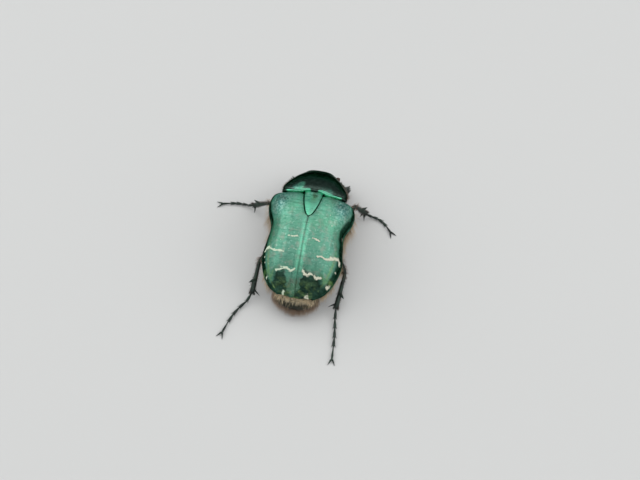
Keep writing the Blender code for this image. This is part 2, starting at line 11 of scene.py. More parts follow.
# %% The frame
import json
import math
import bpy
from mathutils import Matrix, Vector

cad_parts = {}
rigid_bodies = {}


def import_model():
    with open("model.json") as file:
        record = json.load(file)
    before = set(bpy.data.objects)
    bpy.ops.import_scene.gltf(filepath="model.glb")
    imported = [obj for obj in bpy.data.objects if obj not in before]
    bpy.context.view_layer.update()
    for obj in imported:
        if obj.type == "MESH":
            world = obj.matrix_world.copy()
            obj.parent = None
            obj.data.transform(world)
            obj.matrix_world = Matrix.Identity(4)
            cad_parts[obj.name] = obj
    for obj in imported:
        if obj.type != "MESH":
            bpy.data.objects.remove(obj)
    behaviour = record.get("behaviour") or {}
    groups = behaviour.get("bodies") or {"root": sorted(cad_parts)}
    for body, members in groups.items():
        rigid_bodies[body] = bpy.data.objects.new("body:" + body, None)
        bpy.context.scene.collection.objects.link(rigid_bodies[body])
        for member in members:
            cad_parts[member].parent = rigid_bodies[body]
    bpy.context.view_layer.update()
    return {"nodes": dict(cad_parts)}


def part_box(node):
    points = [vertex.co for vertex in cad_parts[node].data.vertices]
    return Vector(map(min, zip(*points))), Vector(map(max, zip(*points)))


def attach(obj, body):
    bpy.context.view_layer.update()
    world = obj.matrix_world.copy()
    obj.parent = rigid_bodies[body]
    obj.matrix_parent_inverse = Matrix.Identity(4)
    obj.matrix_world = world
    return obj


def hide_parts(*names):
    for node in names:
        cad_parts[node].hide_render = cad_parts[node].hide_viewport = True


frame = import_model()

from types import SimpleNamespace

import bpy
import numpy as np
from mathutils import Vector

print("solid pieces:", len(frame["nodes"]))

# %% [markdown]
# ## The body's own axes
# A beetle is easiest to describe from the middle of its back, in millimetres: y runs from the head (minus)
# to the tail (plus), x to the beetle's own left, and z up from the floor. The solids stand with the middle
# of their box over the origin, so one shift carries points from the body's axes to theirs. It is read from
# the scutellum, the small triangle between the wing cases, because that lies on the body's middle line.

# %% From body axes to the world
MM = 0.001
SCUTELLUM_Y = -1.65
scutellum_low, scutellum_high = (np.array(corner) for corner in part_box("scutellum"))
SHIFT = np.array([
    (scutellum_low[0] + scutellum_high[0]) / 2 / MM,
    scutellum_low[1] / MM - SCUTELLUM_Y,
    0.0,
])
print("body axes start at", SHIFT.round(3), "mm")


def world(point):
    """A point in body millimetres as a place in metres."""
    return Vector((np.array(point, float) + SHIFT) * MM)


# %% [markdown]
# ## The camera
# The picture looks down on the beetle from behind, a little from its right-hand side. The camera comes
# first, so that every later look is through it. It looks at a point on the middle line and keeps a small
# sideways shift, because the beetle stands left of the middle of the frame.

# %% Camera
AIM = np.array([0.0, 4.0, 6.0])
CAMERA_DISTANCE = 83.5
CAMERA_AZIMUTH = math.radians(-10.8)
CAMERA_ELEVATION = math.radians(62)
FIELD_OF_VIEW = math.radians(45)
FRAME_WIDTH = 640
AIM_PIXEL_FROM_MIDDLE = (-15.4, 0.8)


def direction(azimuth, elevation):
    """The unit vector at an angle round from the tail towards the left side, and an angle above the floor."""
    level = math.cos(elevation)
    return np.array([math.sin(azimuth) * level, math.cos(azimuth) * level, math.sin(elevation)])


camera_data = bpy.data.cameras.new("camera")
camera_data.angle = FIELD_OF_VIEW
camera_data.shift_x = -AIM_PIXEL_FROM_MIDDLE[0] / FRAME_WIDTH
camera_data.shift_y = -AIM_PIXEL_FROM_MIDDLE[1] / FRAME_WIDTH
camera_data.clip_start = 0.001
camera = bpy.data.objects.new("camera", camera_data)
bpy.context.scene.collection.objects.link(camera)
to_camera = direction(CAMERA_AZIMUTH, CAMERA_ELEVATION)
camera.location = world(AIM + to_camera * CAMERA_DISTANCE)
camera.rotation_euler = Vector(to_camera).to_track_quat("Z", "Y").to_euler()
bpy.context.scene.camera = camera
print("camera", CAMERA_DISTANCE, "mm from the point that it looks at")

# %% [markdown]
# ## Smooth curves through a few measures
# A beetle's outline has no straight lines, but a handful of measures fix it. A table gives a width or a
# height at a few places, and a smooth curve runs through them. Between two neighbours the curve is a cubic
# that passes through both and leans at each the way the points around it do.

# %% Smooth curve
def curve(knots, places, column=1):
    """The smooth curve through a table's first column and another one, read at many places at once."""
    table = np.array(knots, float)
    stops, values = table[:, 0], table[:, column]
    slopes = np.gradient(values, stops)
    at = np.clip(places, stops[0], stops[-1])
    i = np.clip(np.searchsorted(stops, at, side="right") - 1, 0, len(stops) - 2)
    step = stops[i + 1] - stops[i]
    t = (at - stops[i]) / step
    rise = (3 - 2 * t) * t * t
    lean = t * (1 - t) * step * ((1 - t) * slopes[i] - t * slopes[i + 1])
    return values[i] + rise * (values[i + 1] - values[i]) + lean


def bump(x, middle, width):
    """A bell curve: 1 at the middle, and about a third at one width from it."""
    return np.exp(-(((x - middle) / width) ** 2))


def ramp(x, start, end):
    """0 before the start, 1 after the end, and a smooth step between them."""
    t = np.clip((x - start) / (end - start), 0, 1)
    return t * t * (3 - 2 * t)


# %% [markdown]
# ## Meshes from grids of points
# Every surface here is a grid of points: rows along the piece and columns across it or round it.
# Neighbouring points become four-cornered faces. A grid whose columns close into rings gets a point in the
# middle of each end, so the mesh is closed. A closed mesh knows its own volume, and a negative one says
# that its faces look inwards, so they are turned over.

# %% Grids to meshes
def weave(rows, columns, around):
    """The faces between neighbouring points of a grid, whose columns close into rings if around is true."""
    index = np.arange(rows * columns).reshape(rows, columns)
    beside = np.roll(index, -1, axis=1)
    quads = np.stack([index[:-1], beside[:-1], beside[1:], index[1:]], axis=-1)
    return (quads if around else quads[:, :-1]).reshape(-1, 4)


def volume(points, triangles):
    """The volume inside closed triangles, a sixth of the sum of a . (b x c) over their corners a, b and c."""
    a, b, c = (points[triangles[:, k]] for k in range(3))
    return np.einsum("ij,ij->", a, np.cross(b, c)) / 6


def closed(rings):
    """A closed shape from rings of points: its points, quads and end triangles, all facing out."""
    rows, columns, _ = rings.shape
    points = np.concatenate([rings.reshape(-1, 3), rings[0].mean(0)[None], rings[-1].mean(0)[None]])
    quads = weave(rows, columns, True)
    first = np.arange(columns)
    last = first + (rows - 1) * columns
    start = np.full(columns, rows * columns)
    triangles = np.concatenate([
        np.stack([start, np.roll(first, -1), first], -1),
        np.stack([start + 1, last, np.roll(last, -1)], -1),
    ])
    every = np.concatenate([triangles, quads[:, [0, 1, 2]], quads[:, [0, 2, 3]]])
    if volume(points, every) < 0:
        quads, triangles = quads[:, ::-1], triangles[:, ::-1]
    return points, quads, triangles


def together(shapes):
    """Several shapes as one."""
    starts = np.cumsum([0] + [len(points) for points, _, _ in shapes])
    return (
        np.concatenate([points for points, _, _ in shapes]),
        np.concatenate([quads + start for (_, quads, _), start in zip(shapes, starts)]),
        np.concatenate([triangles + start for (_, _, triangles), start in zip(shapes, starts)]),
    )


NO_FACES = np.zeros((0, 3), int)
print("a grid of 3 rings of 4 points has", len(weave(3, 4, True)), "faces")

# %% [markdown]
# ## From a shape to a piece
# Blender keeps a mesh as long lists: the places of its points, and for each face which points are its
# corners. numpy can hand over such lists whole, which is far faster than adding points one by one. Numbers
# kept at the points guide the materials later. Each piece also gets its material, and the solids that it
# stands for are hidden.

# %% Pieces
def mesh_piece(name, shape, **values):
    """An object from a shape in body millimetres. Each extra value is kept as a number at every point."""
    points, quads, triangles = shape
    mesh = bpy.data.meshes.new(name)
    mesh.vertices.add(len(points))
    mesh.vertices.foreach_set("co", ((points + SHIFT) * MM).ravel())
    corners = np.concatenate([quads.ravel(), triangles.ravel()])
    sizes = np.concatenate([np.full(len(quads), 4), np.full(len(triangles), 3)])
    mesh.loops.add(len(corners))
    mesh.loops.foreach_set("vertex_index", corners)
    mesh.polygons.add(len(sizes))
    mesh.polygons.foreach_set("loop_start", np.cumsum(sizes) - sizes)
    mesh.update(calc_edges=True)
    mesh.validate()
    mesh.shade_smooth()
    for label, numbers in values.items():
        layer = mesh.attributes.new(label, "FLOAT", "POINT")
        layer.data.foreach_set("value", np.asarray(numbers, np.float32).ravel())
    made = bpy.data.objects.new(name, mesh)
    bpy.context.scene.collection.objects.link(made)
    return made


def keep(piece, material, slot, *nodes):
    """Gives a piece its material, hangs it on the root body and hides the solids that it stands for. The
    slot, for its finish, is not used.
    """
    piece.data.materials.clear()
    piece.data.materials.append(material)
    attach(piece, "root")
    if nodes:
        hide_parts(*nodes)
    print(piece.name, len(piece.data.polygons), "faces")
    return piece


def side_name(side):
    """The word for a side: 1 is the beetle's own left and -1 its right."""
    return "left" if side > 0 else "right"


print("sides:", side_name(1), "and", side_name(-1))

# %% [markdown]
# ## Materials as small graphs
# Each material is a graph of nodes that Blender works out at every point of a surface. Small helpers keep
# the graphs short to write: one adds a node, and others blend two colours, stretch a range of values, do a
# step of arithmetic or make a pattern. Patterns read the object's own coordinates, in metres, so a pattern
# stays on the piece when the camera moves. A pattern a fifth of a millimetre wide needs a scale of several
# thousand.

# %% Material helpers
def add(tree, kind, inputs=None, **settings):
    """Adds a node. An input that is another node's socket is linked, and any other is set as a value."""
    made = tree.nodes.new(kind)
    for label, value in settings.items():
        setattr(made, label, value)
    for label, value in (inputs or {}).items():
        if isinstance(value, bpy.types.NodeSocket):
            tree.links.new(value, made.inputs[label])
        else:
            made.inputs[label].default_value = value
    return made


def blend(tree, amount, first, second):
    """A colour between two: all of the first where the amount is 0, and all of the second where it is 1."""
    first, second = (
        colour if isinstance(colour, bpy.types.NodeSocket) else (*colour, 1) for colour in (first, second)
    )
    return add(tree, "ShaderNodeMix", {0: amount, 6: first, 7: second}, data_type="RGBA").outputs[2]


def between(tree, value, low, high, to_low=0.0, to_high=1.0):
    """Stretches a range of values over another range, and cuts off what lies outside."""
    made = add(tree, "ShaderNodeMapRange", {
        "Value": value, "From Min": low, "From Max": high, "To Min": to_low, "To Max": to_high,
    })
    return made.outputs["Result"]


def calculate(tree, operation, first, second):
    """One step of arithmetic on two values."""
    return add(tree, "ShaderNodeMath", {0: first, 1: second}, operation=operation).outputs[0]


def times(tree, first, second):
    """Two values multiplied."""
    return calculate(tree, "MULTIPLY", first, second)


def plus(tree, first, second):
    """Two values added."""
    return calculate(tree, "ADD", first, second)


def minus(tree, first, second):
    """The second value taken from the first."""
    return calculate(tree, "SUBTRACT", first, second)


def number(tree, label):
    """A number that was kept at every point of the mesh."""
    return add(tree, "ShaderNodeAttribute", attribute_name=label).outputs["Fac"]


def start_material(name, colour, roughness, metallic=0.0):
    """A new material, its graph, its shader and the socket that gives a point's own coordinates."""
    made = bpy.data.materials.new(name)
    made.use_nodes = True
    tree = made.node_tree
    shader = tree.nodes["Principled BSDF"]
    shader.inputs["Base Color"].default_value = (*colour, 1)
    shader.inputs["Roughness"].default_value = roughness
    shader.inputs["Metallic"].default_value = metallic
    own = add(tree, "ShaderNodeTexCoord").outputs["Object"]
    return made, tree, shader, own


def noise(tree, own, scale, detail=2.0, roughness=0.5):
    """Smooth random grey, whose blotches are about one over the scale across, in metres."""
    inputs = {"Vector": own, "Scale": scale, "Detail": detail, "Roughness": roughness}
    return add(tree, "ShaderNodeTexNoise", inputs).outputs["Fac"]


def pits(tree, own, scale, size):
    """Small round pits in an even scatter, and the net between them, each as 1 on it and 0 off it."""
    cells = add(tree, "ShaderNodeTexVoronoi", {"Vector": own, "Scale": scale, "Randomness": 0.85})
    from_middle = cells.outputs["Distance"]
    return between(tree, from_middle, 0.0, size, 1.0, 0.0), between(tree, from_middle, size, 0.8)


def dent(tree, shader, height, depth):
    """Lets a height pattern tilt the light on the surface. The depth is in metres."""
    made = add(tree, "ShaderNodeBump", {"Height": height, "Strength": 1.0, "Distance": depth})
    tree.links.new(made.outputs["Normal"], shader.inputs["Normal"])


# %% [markdown]
# ## The green of the shell
# The shell has no green dye. Thin clear layers in it throw green light back, much as a metal would, so the
# shader is a metal with a green tint. The tint is built up in layers of colour, each laid over the one
# before as far as a pattern or a number says. It wanders between teal and emerald, with fine streaks across
# the back and fine painted glints. Round pits cover the plates, with painted shade in them. They are most
# marked on the shoulders, where the shell looks bluer and the net between the pits bears painted glints.
#
# Six numbers kept in a mesh guide the layers: how pitted a place is, how much painted shade, painted
# golden sheen, painted dimming and painted highlight it has, and whether it bears a pale mark. Where a mesh
# lacks one, it counts as 0.

# %% Patterns and tints of the green
TEAL = (0.165, 0.430, 0.310)
EMERALD = (0.145, 0.435, 0.270)
# The colour of the painted golden sheen.
GOLD_GREEN = (0.300, 0.560, 0.150)
BLUE_GREEN = (0.062, 0.170, 0.172)
# The colour of the painted dimming, a light painted shade.
SHADE_GREEN = (0.090, 0.225, 0.165)
ROSE_GREY = (0.245, 0.290, 0.235)
# Darkens the streaks, and in the pits it is painted shade.
DEEP_GREEN = (0.030, 0.160, 0.105)
# The colour of the painted highlights.
HIGHLIGHT_GREEN = (0.165, 0.660, 0.420)
# The colour of painted glints.
PAINTED_GLINT = (0.470, 0.760, 0.620)


def shell_patterns(tree, own, pit_scale):
    """The patterns that the layers share: three noises, streaks, pits and the net between the pits."""
    across = add(tree, "ShaderNodeMapping", {"Vector": own, "Scale": (0.40, 1.9, 1.0)}).outputs["Vector"]
    hollow, net = pits(tree, own, pit_scale, 0.46)
    return SimpleNamespace(
        wide=noise(tree, own, 420, 3),
        mottle=noise(tree, own, 1500, 3, 0.6),
        fine=noise(tree, own, 3600, 4, 0.65),
        streaks=noise(tree, across, 2400, 4, 0.7),
        hollow=times(tree, hollow, between(tree, number(tree, "pitted"), 0, 1, 0.15, 1.0)),
        net=net,
    )


def green_tint(tree, look):
    """The tint of the shell outside its painted shade: layers over a base between teal and emerald, with
    painted sheen, dimming, highlights and glints among them.
    """
    pitted, dull = number(tree, "pitted"), number(tree, "dull")
    rosy = plus(tree, 0.30, times(tree, dull, 0.6))
    tint = blend(tree, between(tree, look.wide, 0.38, 0.62), TEAL, EMERALD)
    # Painted light among the layers: the golden sheen, the dimming (which also strengthens the rose-grey
    # blotches), the highlight, the glints on fine specks and on the net between the pits, and painted shade
    # in the pits.
    layers = (
        (number(tree, "warm"), GOLD_GREEN),
        (dull, SHADE_GREEN),
        (number(tree, "bright"), HIGHLIGHT_GREEN),
        (times(tree, pitted, 0.85), BLUE_GREEN),
        (times(tree, between(tree, look.mottle, 0.50, 0.66), rosy), ROSE_GREY),
        (between(tree, look.streaks, 0.50, 0.36, 0.0, 0.50), DEEP_GREEN),
        (between(tree, look.fine, 0.56, 0.72, 0.0, 0.45), PAINTED_GLINT),
        (times(tree, look.net, times(tree, pitted, 0.36)), PAINTED_GLINT),
        (times(tree, look.hollow, 0.8), DEEP_GREEN),
    )
    for amount, colour in layers:
        tint = blend(tree, amount, tint, colour)
    return tint


print("the base of the shell's tint lies between", TEAL, "and", EMERALD)

# %% [markdown]
# ## Where shade is painted on the shell
# The number for painted shade isn't shown as it is. Two noises are added to it first, so the painted shade
# has a blotchy border, and only then is it stretched to run from no black to all black. The painted black
# isn't even either. It is multiplied by a fine grain and by the streaks, it is darker still as painted shade
# in the pits, and where a golden sheen is painted it is an olive painted sheen.

# %% Painted shade
# The colour of the olive painted sheen within the painted shade.
OLIVE = (0.200, 0.330, 0.120)


def with_painted_shade(tree, tint, look, shade_tint, grained):
    """The tint with its painted shade laid over it. grained says how much the streaks show in the shade."""
    shaded = plus(tree, number(tree, "dark"), between(tree, look.mottle, 0.3, 0.7, -0.20, 0.20))
    shaded = plus(tree, shaded, between(tree, look.fine, 0.3, 0.7, -0.12, 0.12))
    olive = times(tree, number(tree, "warm"), between(tree, look.mottle, 0.45, 0.65))
    grain = between(tree, look.fine, 0.40, 0.66, 0.80, 1.30)
    grain = times(tree, grain, between(tree, look.streaks, 0.35, 0.65, 1 - grained, 1 + grained))
    grain = times(tree, grain, between(tree, look.hollow, 0.0, 0.7, 1.0, 0.30))
    inputs = {0: blend(tree, olive, shade_tint, OLIVE), 1: grain}
    black = add(tree, "ShaderNodeVectorMath", inputs, operation="MULTIPLY").outputs["Vector"]
    return blend(tree, between(tree, shaded, 0.30, 0.80), tint, black)


print("dark places turn olive where they are golden:", OLIVE)

# %% [markdown]
# ## The whole shell material
# The pale marks are a chalky crust on the shell, so there the metal is turned off and the colour is chalk,
# a little greener on the left. A coarse and a fine noise fray the edge of each mark. The crust stands a
# little above the shell, and so do the streaks, and the pits lie below it. Metals turn white at a grazing
# angle, but this shell goes dark there, so the shader's edge tint is set to a deep green. Wing cases,
# pronotum and head share the recipe, each with its own black for the painted shade, gloss and pits.

# %% Green shell
CREAM = (0.650, 0.650, 0.510)
MINT = (0.620, 0.740, 0.560)
EDGE_TINT = (0.16, 0.24, 0.20, 1)


def crust_amount(tree, own):
    """1 on the chalky crust and 0 off it: the number pale, frayed by a coarse and a fine noise."""
    pale = number(tree, "pale")
    coarse = between(tree, noise(tree, own, 2600, 2, 0.5), 0.3, 0.7, -0.30, 0.30)
    fine = between(tree, noise(tree, own, 7000, 4, 0.75), 0.28, 0.72, -0.52, 0.52)
    frayed = plus(tree, pale, plus(tree, coarse, fine))
    return times(tree, between(tree, frayed, 0.43, 0.58), between(tree, pale, 0.0, 0.10))


def green_shell(name, shade_tint, roughness, pit_scale, pit_depth, grained):
    """Metallic green cuticle whose tint is led by the kept numbers: how pitted it is, its painted shade,
    sheen, dimming and highlight, and its pale marks.
    """
    made, tree, shader, own = start_material(name, EMERALD, roughness, 1.0)
    shader.inputs["Specular Tint"].default_value = EDGE_TINT
    look = shell_patterns(tree, own, pit_scale)
    crust = crust_amount(tree, own)
    right_to_left = add(tree, "ShaderNodeSeparateXYZ", {"Vector": own}).outputs["X"]
    chalk = blend(tree, between(tree, right_to_left, -0.002, 0.001), CREAM, MINT)
    tint = with_painted_shade(tree, green_tint(tree, look), look, shade_tint, grained)
    tree.links.new(blend(tree, crust, tint, chalk), shader.inputs["Base Color"])
    tree.links.new(minus(tree, 1.0, crust), shader.inputs["Metallic"])
    rough = between(tree, look.fine, 0.3, 0.7, roughness - 0.05, roughness + 0.07)
    tree.links.new(plus(tree, rough, times(tree, crust, 0.4)), shader.inputs["Roughness"])
    height = minus(tree, times(tree, look.streaks, 1.4), look.hollow)
    dent(tree, shader, plus(tree, height, times(tree, crust, 0.8)), pit_depth)
    return made


# The second colour of each is the black of its painted shade.
wing_case_green = green_shell("wing_case_green", (0.028, 0.068, 0.048), 0.34, 4600, 0.000016, 0.40)
pronotum_green = green_shell("pronotum_green", (0.047, 0.073, 0.061), 0.21, 4200, 0.000012, 0.12)
head_green = green_shell("head_green", (0.030, 0.088, 0.064), 0.24, 4200, 0.000010, 0.20)
print("green shells:", wing_case_green.name, pronotum_green.name, head_green.name)

# %% [markdown]
# ## The dark underside, legs and eyes
# Below, and on its legs, the beetle is nearly black with a green or coppery glint. That is the same cuticle
# with less colour, so the shader is mostly metal with a dark tint. The eyes are black and polished, with
# thousands of tiny facets that only show as a fine grain. The feelers are dark brown and silky.

# %% Dark cuticle, eyes and feelers
# Painted shade in the pits and facets of the dark cuticle.
PIT_BLACK = (0.003, 0.004, 0.003)


def dark_shell(name, colour, glint, metallic, roughness, pit_scale, pit_depth=0.00001):
    """Nearly black cuticle whose glint wanders between two colours, with painted shade in its pits."""
    made, tree, shader, own = start_material(name, colour, roughness, metallic)
    tint = blend(tree, between(tree, noise(tree, own, 900, 3), 0.4, 0.65), colour, glint)
    hollow, _ = pits(tree, own, pit_scale, 0.4)
    tree.links.new(blend(tree, times(tree, hollow, 0.5), tint, PIT_BLACK), shader.inputs["Base Color"])
    rough = between(tree, noise(tree, own, 3000, 3), 0.3, 0.7, roughness - 0.06, roughness + 0.08)
    tree.links.new(rough, shader.inputs["Roughness"])
    dent(tree, shader, minus(tree, noise(tree, own, 4000, 3), hollow), pit_depth)
    return made


leg_black = dark_shell("leg_black", (0.016, 0.022, 0.019), (0.030, 0.050, 0.038), 0.6, 0.33, 5000)
pygidium_black = dark_shell("pygidium_black", (0.034, 0.036, 0.028), (0.085, 0.080, 0.055), 0.85, 0.30, 4200)
belly_dark = dark_shell("belly_dark", (0.012, 0.040, 0.024), (0.060, 0.050, 0.022), 0.75, 0.36, 4200)
feeler_brown = dark_shell("feeler_brown", (0.030, 0.016, 0.010), (0.080, 0.040, 0.020), 0.1, 0.4, 6000)
eye_black = dark_shell("eye_black", (0.008, 0.007, 0.006), (0.020, 0.014, 0.009), 0.0, 0.12, 16000, 0.000001)
eye_black.node_tree.nodes["Principled BSDF"].inputs["Specular IOR Level"].default_value = 0.3
print("dark shells:", leg_black.name, pygidium_black.name, belly_dark.name, feeler_brown.name, eye_black.name)

# %% [markdown]
# ## Hair colours
# A hair is darker at its root and lighter at its tip, and no two are quite alike. The material reads two
# numbers that each strand keeps: how far a point is from the root, and the strand's own tone. The hair is
# golden on the sides of the trunk and palest on top of the last plate, where a pale gold is lightened
# further as painted light against the shade under the tips of the wing cases. It is brown on the head, the
# prothorax, the thighs and the rest of the last plate, and dark on the shins.

# %% Hair materials
HAIR_SHADE = (0.020, 0.012, 0.006)


def hair_material(name, root, tip):
    """Hair with one colour at its root and another at its tip, each tuft a little lighter or darker."""
    made, tree, shader, _ = start_material(name, tip, 0.45)
    tint = blend(tree, number(tree, "reach"), root, tip)
    shade = between(tree, number(tree, "tone"), 0, 1, 0.0, 0.32)
    tree.links.new(blend(tree, shade, tint, HAIR_SHADE), shader.inputs["Base Color"])
    shader.inputs["Sheen Weight"].default_value = 0.15
    return made


gold_hair = hair_material("gold_hair", (0.340, 0.235, 0.125), (0.700, 0.545, 0.350))
# A pale gold lightened further as painted light, against the shade under the wing-case tips.
lightened_gold_hair = hair_material("lightened_gold_hair", (0.820, 0.590, 0.310), (1.000, 0.870, 0.610))
brown_hair = hair_material("brown_hair", (0.165, 0.108, 0.066), (0.415, 0.290, 0.195))
dark_hair = hair_material("dark_hair", (0.020, 0.012, 0.008), (0.110, 0.065, 0.035))
print("hair:", gold_hair.name, lightened_gold_hair.name, brown_hair.name, dark_hair.name)

# %% [markdown]
# ## The wing cases
# Two hard wing cases cover most of the back. Each is a thin curved shell: a row of cross-sections from its
# base at the shoulder to its tip. A cross-section runs from the seam in the middle of the back out to the
# edge and is a quarter of a superellipse, which is an ellipse with squarer shoulders, so the back is flat
# and the sides are steep. On that surface lie low forms: a knob on the shoulder, another near the tip, a
# ridge along the seam with a groove beside it, two faint ribs and a rolled edge. They are sums of bell
# curves added to the height.

# %% Measures of a wing case
BASE_Y = -1.2
APEX_Y = 9.95
# Share of the length, then x, y and z of the outer edge there.
EDGE = [
    (0.00, 3.68, -1.28, 5.25),
    (0.04, 4.48, -1.08, 4.88),
    (0.10, 4.80, -0.42, 4.42),
    (0.18, 4.68, 0.62, 4.25),
    (0.30, 4.08, 2.20, 4.20),
    (0.45, 4.20, 4.00, 3.80),
    (0.60, 4.36, 5.65, 3.50),
    (0.74, 4.04, 7.20, 3.40),
    (0.86, 3.42, 8.50, 3.30),
    (0.94, 2.74, 9.25, 3.20),
    (1.00, 1.95, 9.65, 3.10),
]
SEAM_Z = [
    (0, 6.85), (0.1, 7.15), (0.25, 7.38), (0.4, 7.42), (0.55, 7.25),
    (0.7, 6.65), (0.82, 5.75), (0.92, 4.65), (1, 3.5),
]
ARCH = 0.82
# x and y of the middle, width, length and height of each knob or hollow.
SWELLINGS = [
    (3.55, 0.35, 0.55, 0.80, 0.16),
    (3.05, -0.35, 0.10, 0.35, -0.08),
    (2.60, 7.85, 0.75, 0.80, 0.20),
    (1.10, 6.80, 0.50, 1.60, -0.16),
    (0.00, 6.80, 0.28, 3.20, 0.08),
]
SCUTELLUM_LENGTH = 3.4
SCUTELLUM_HALF = [(0, 1.02), (0.2, 0.98), (0.42, 0.86), (0.72, 0.60), (0.9, 0.36), (0.97, 0.20), (1, 0.06)]
GROOVE = 0.08
SEAM_GAP = 0.022


def along_back(y):
    """How far along the wing cases a place lies, from their base (0) to their tip (1)."""
    return (y - BASE_Y) / (APEX_Y - BASE_Y)


def wing_case(along, across):
    """Points of the left wing case, from base to tip and from seam to edge, each from 0 to 1.

    The place between the seam and the edge is the sine of a quarter turn, and the height the cosine, both to
    the power ARCH. The low forms are added to the height, and fade towards the edge.
    """
    seam_y = BASE_Y + (APEX_Y - BASE_Y) * along
    half = curve(SCUTELLUM_HALF, (seam_y - SCUTELLUM_Y) / SCUTELLUM_LENGTH)
    past_tip = np.maximum(0, seam_y - SCUTELLUM_Y - SCUTELLUM_LENGTH)
    seam_x = np.maximum(half + GROOVE - 0.6 * past_tip, SEAM_GAP)
    edge_x, edge_y, edge_z = (curve(EDGE, along, column) for column in (1, 2, 3))
    out = np.sin(across * math.pi / 2) ** ARCH
    up = np.cos(across * math.pi / 2) ** ARCH
    x = seam_x + (edge_x - seam_x) * out
    y = seam_y + (edge_y - seam_y) * out
    knobs = sum(
        height * bump(x, mid_x, wide) * bump(y, mid_y, long)
        for mid_x, mid_y, wide, long, height in SWELLINGS
    )
    seam_ridge = ramp(seam_y, 1.6, 3.0) * (0.10 * bump(x, 0.0, 0.26) - 0.08 * bump(x, 0.52, 0.14))
    ribs = 0.05 * bump(x, 1.95 - 0.05 * y, 0.20) + 0.04 * bump(x, 3.0 - 0.03 * y, 0.20)
    ribs = ribs * ramp(y, 0.5, 2.5) * (1 - ramp(y, 8.0, 9.2))
    beside_scutellum = 0.05 * bump(x - half, GROOVE, 0.22) * (1 - ramp(seam_y, 1.2, 2.4))
    rise = knobs + seam_ridge + ribs - beside_scutellum
    turned_in = 0.45 * np.exp(-along / 0.012) + 0.10 * np.exp(-(1 - along) / 0.012)
    z = edge_z + (curve(SEAM_Z, along) - edge_z + rise) * up - turned_in
    rolled_edge = 0.07 * bump(across, 0.975, 0.018) - 0.05 * bump(across, 0.925, 0.025)
    forward = 0.28 * bump(x, 1.7, 1.15) * np.exp(-along / 0.04)
    return np.stack([x + rolled_edge * out, y - forward, z], axis=-1)


print("wing cases", APEX_Y - BASE_Y, "mm long and", 2 * max(row[1] for row in EDGE), "mm wide")

# %% [markdown]
# ## The pale marks
# White flecks of a chalky crust cross the wing cases in short ragged bars, and no two beetles have the
# same. Each bar is a stroke: a few places joined by straight lines, and a half-width. Every point of the
# shell keeps the number 1 in the middle of a stroke, falling to 0 at twice its half-width, and the material
# frays the edge. The strokes are given in millimetres on the body's axes, for each side.

# %% Strokes and their distance
# For the left side (1) and the right side (-1): half-width, then x and y of the places on each stroke.
MARKS = {
    1: [
        (0.080, [(1.67, 4.49), (1.16, 4.51), (0.72, 4.41)]),
        (0.085, [(3.89, 5.72), (3.65, 5.63), (3.19, 5.90), (2.70, 6.10), (2.27, 6.10), (1.85, 6.18)]),
        (0.170, [(3.72, 5.65), (3.58, 5.66)]),
        (0.060, [(3.90, 5.79), (4.01, 5.91)]),
        (0.085, [(2.36, 7.96), (1.97, 7.90), (1.62, 7.76), (1.26, 7.67)]),
        (0.085, [(1.26, 7.67), (0.96, 7.81), (0.74, 7.86), (0.40, 7.66)]),
        (0.060, [(1.92, 7.64), (1.59, 7.65), (1.26, 7.63)]),
        (0.110, [(3.37, 8.39), (3.43, 8.48)]),
        (0.115, [(1.27, 9.55), (1.33, 9.74)]),
        (0.050, [(3.90, 6.45), (3.90, 6.51)]),
        (0.050, [(3.78, 7.00), (3.78, 7.07)]),
        (0.040, [(2.43, 4.97), (2.45, 4.97)]),
        (0.040, [(1.33, 5.87), (1.35, 5.87)]),
        (0.040, [(0.58, 5.80), (0.60, 5.80)]),
        (0.040, [(3.75, 2.18), (3.77, 2.18)]),
    ],
    -1: [
        (0.075, [(0.94, 4.41), (1.25, 4.38), (1.54, 4.49), (1.72, 4.59)]),
        (0.085, [(1.80, 6.16), (2.17, 6.08), (2.39, 6.13), (2.73, 6.20), (3.14, 6.04), (3.54, 5.78)]),
        (0.135, [(3.21, 5.86), (3.62, 5.65), (4.00, 5.54), (4.14, 5.63), (4.15, 5.82)]),
        (0.110, [(0.55, 7.72), (0.73, 7.91), (1.02, 7.98), (1.37, 7.84), (1.59, 7.91), (1.83, 8.05)]),
        (0.100, [(2.10, 8.15), (2.45, 8.03)]),
        (0.135, [(3.24, 8.44), (3.42, 8.45)]),
        (0.085, [(3.50, 8.31), (3.64, 8.15)]),
        (0.090, [(1.15, 9.69), (1.18, 9.61), (1.34, 9.54)]),
        (0.090, [(1.22, 9.70), (1.40, 9.74)]),
        (0.050, [(3.89, 6.81), (3.89, 6.87)]),
        (0.070, [(4.01, 2.74), (4.06, 2.95)]),
        (0.036, [(2.31, 1.18), (2.33, 1.18)]),
        (0.036, [(2.67, 2.33), (2.69, 2.33)]),
    ],
}


def from_stroke(x, y, start, end):
    """The distance of every point from the straight line between two places."""
    way = np.subtract(end, start)
    share = np.clip(((x - start[0]) * way[0] + (y - start[1]) * way[1]) / (way @ way), 0, 1)
    return np.hypot(x - start[0] - share * way[0], y - start[1] - share * way[1])


def paleness(x, y, marks):
    """1 in the middle of each stroke and 0 beyond twice its half-width."""
    pale = np.zeros_like(x)
    for half_width, route in marks:
        near = np.min([from_stroke(x, y, a, b) for a, b in zip(route, route[1:])], axis=0)
        pale = np.maximum(pale, np.clip(1 - near / (2 * half_width), 0, 1))
    return pale


print("strokes:", len(MARKS[1]), "left and", len(MARKS[-1]), "right")

# %% [markdown]
# ## Where shade is painted on the back
# The flat of the back is bright, and its steep sides and hollow tips are nearly black. On the real beetle
# this is a reflection of the dark surroundings. A reflection would come and go with the light, so it is kept
# in the shell as painted shade: one table for each side says where the painted shade of the steep side
# starts, and another where that of the tip does. The border of a tip wavers, and low on the sides the
# painted shade thins out. A painted golden sheen runs along the borders and widens to a patch at the rear.
# These are tables because the light fell differently on the two sides.

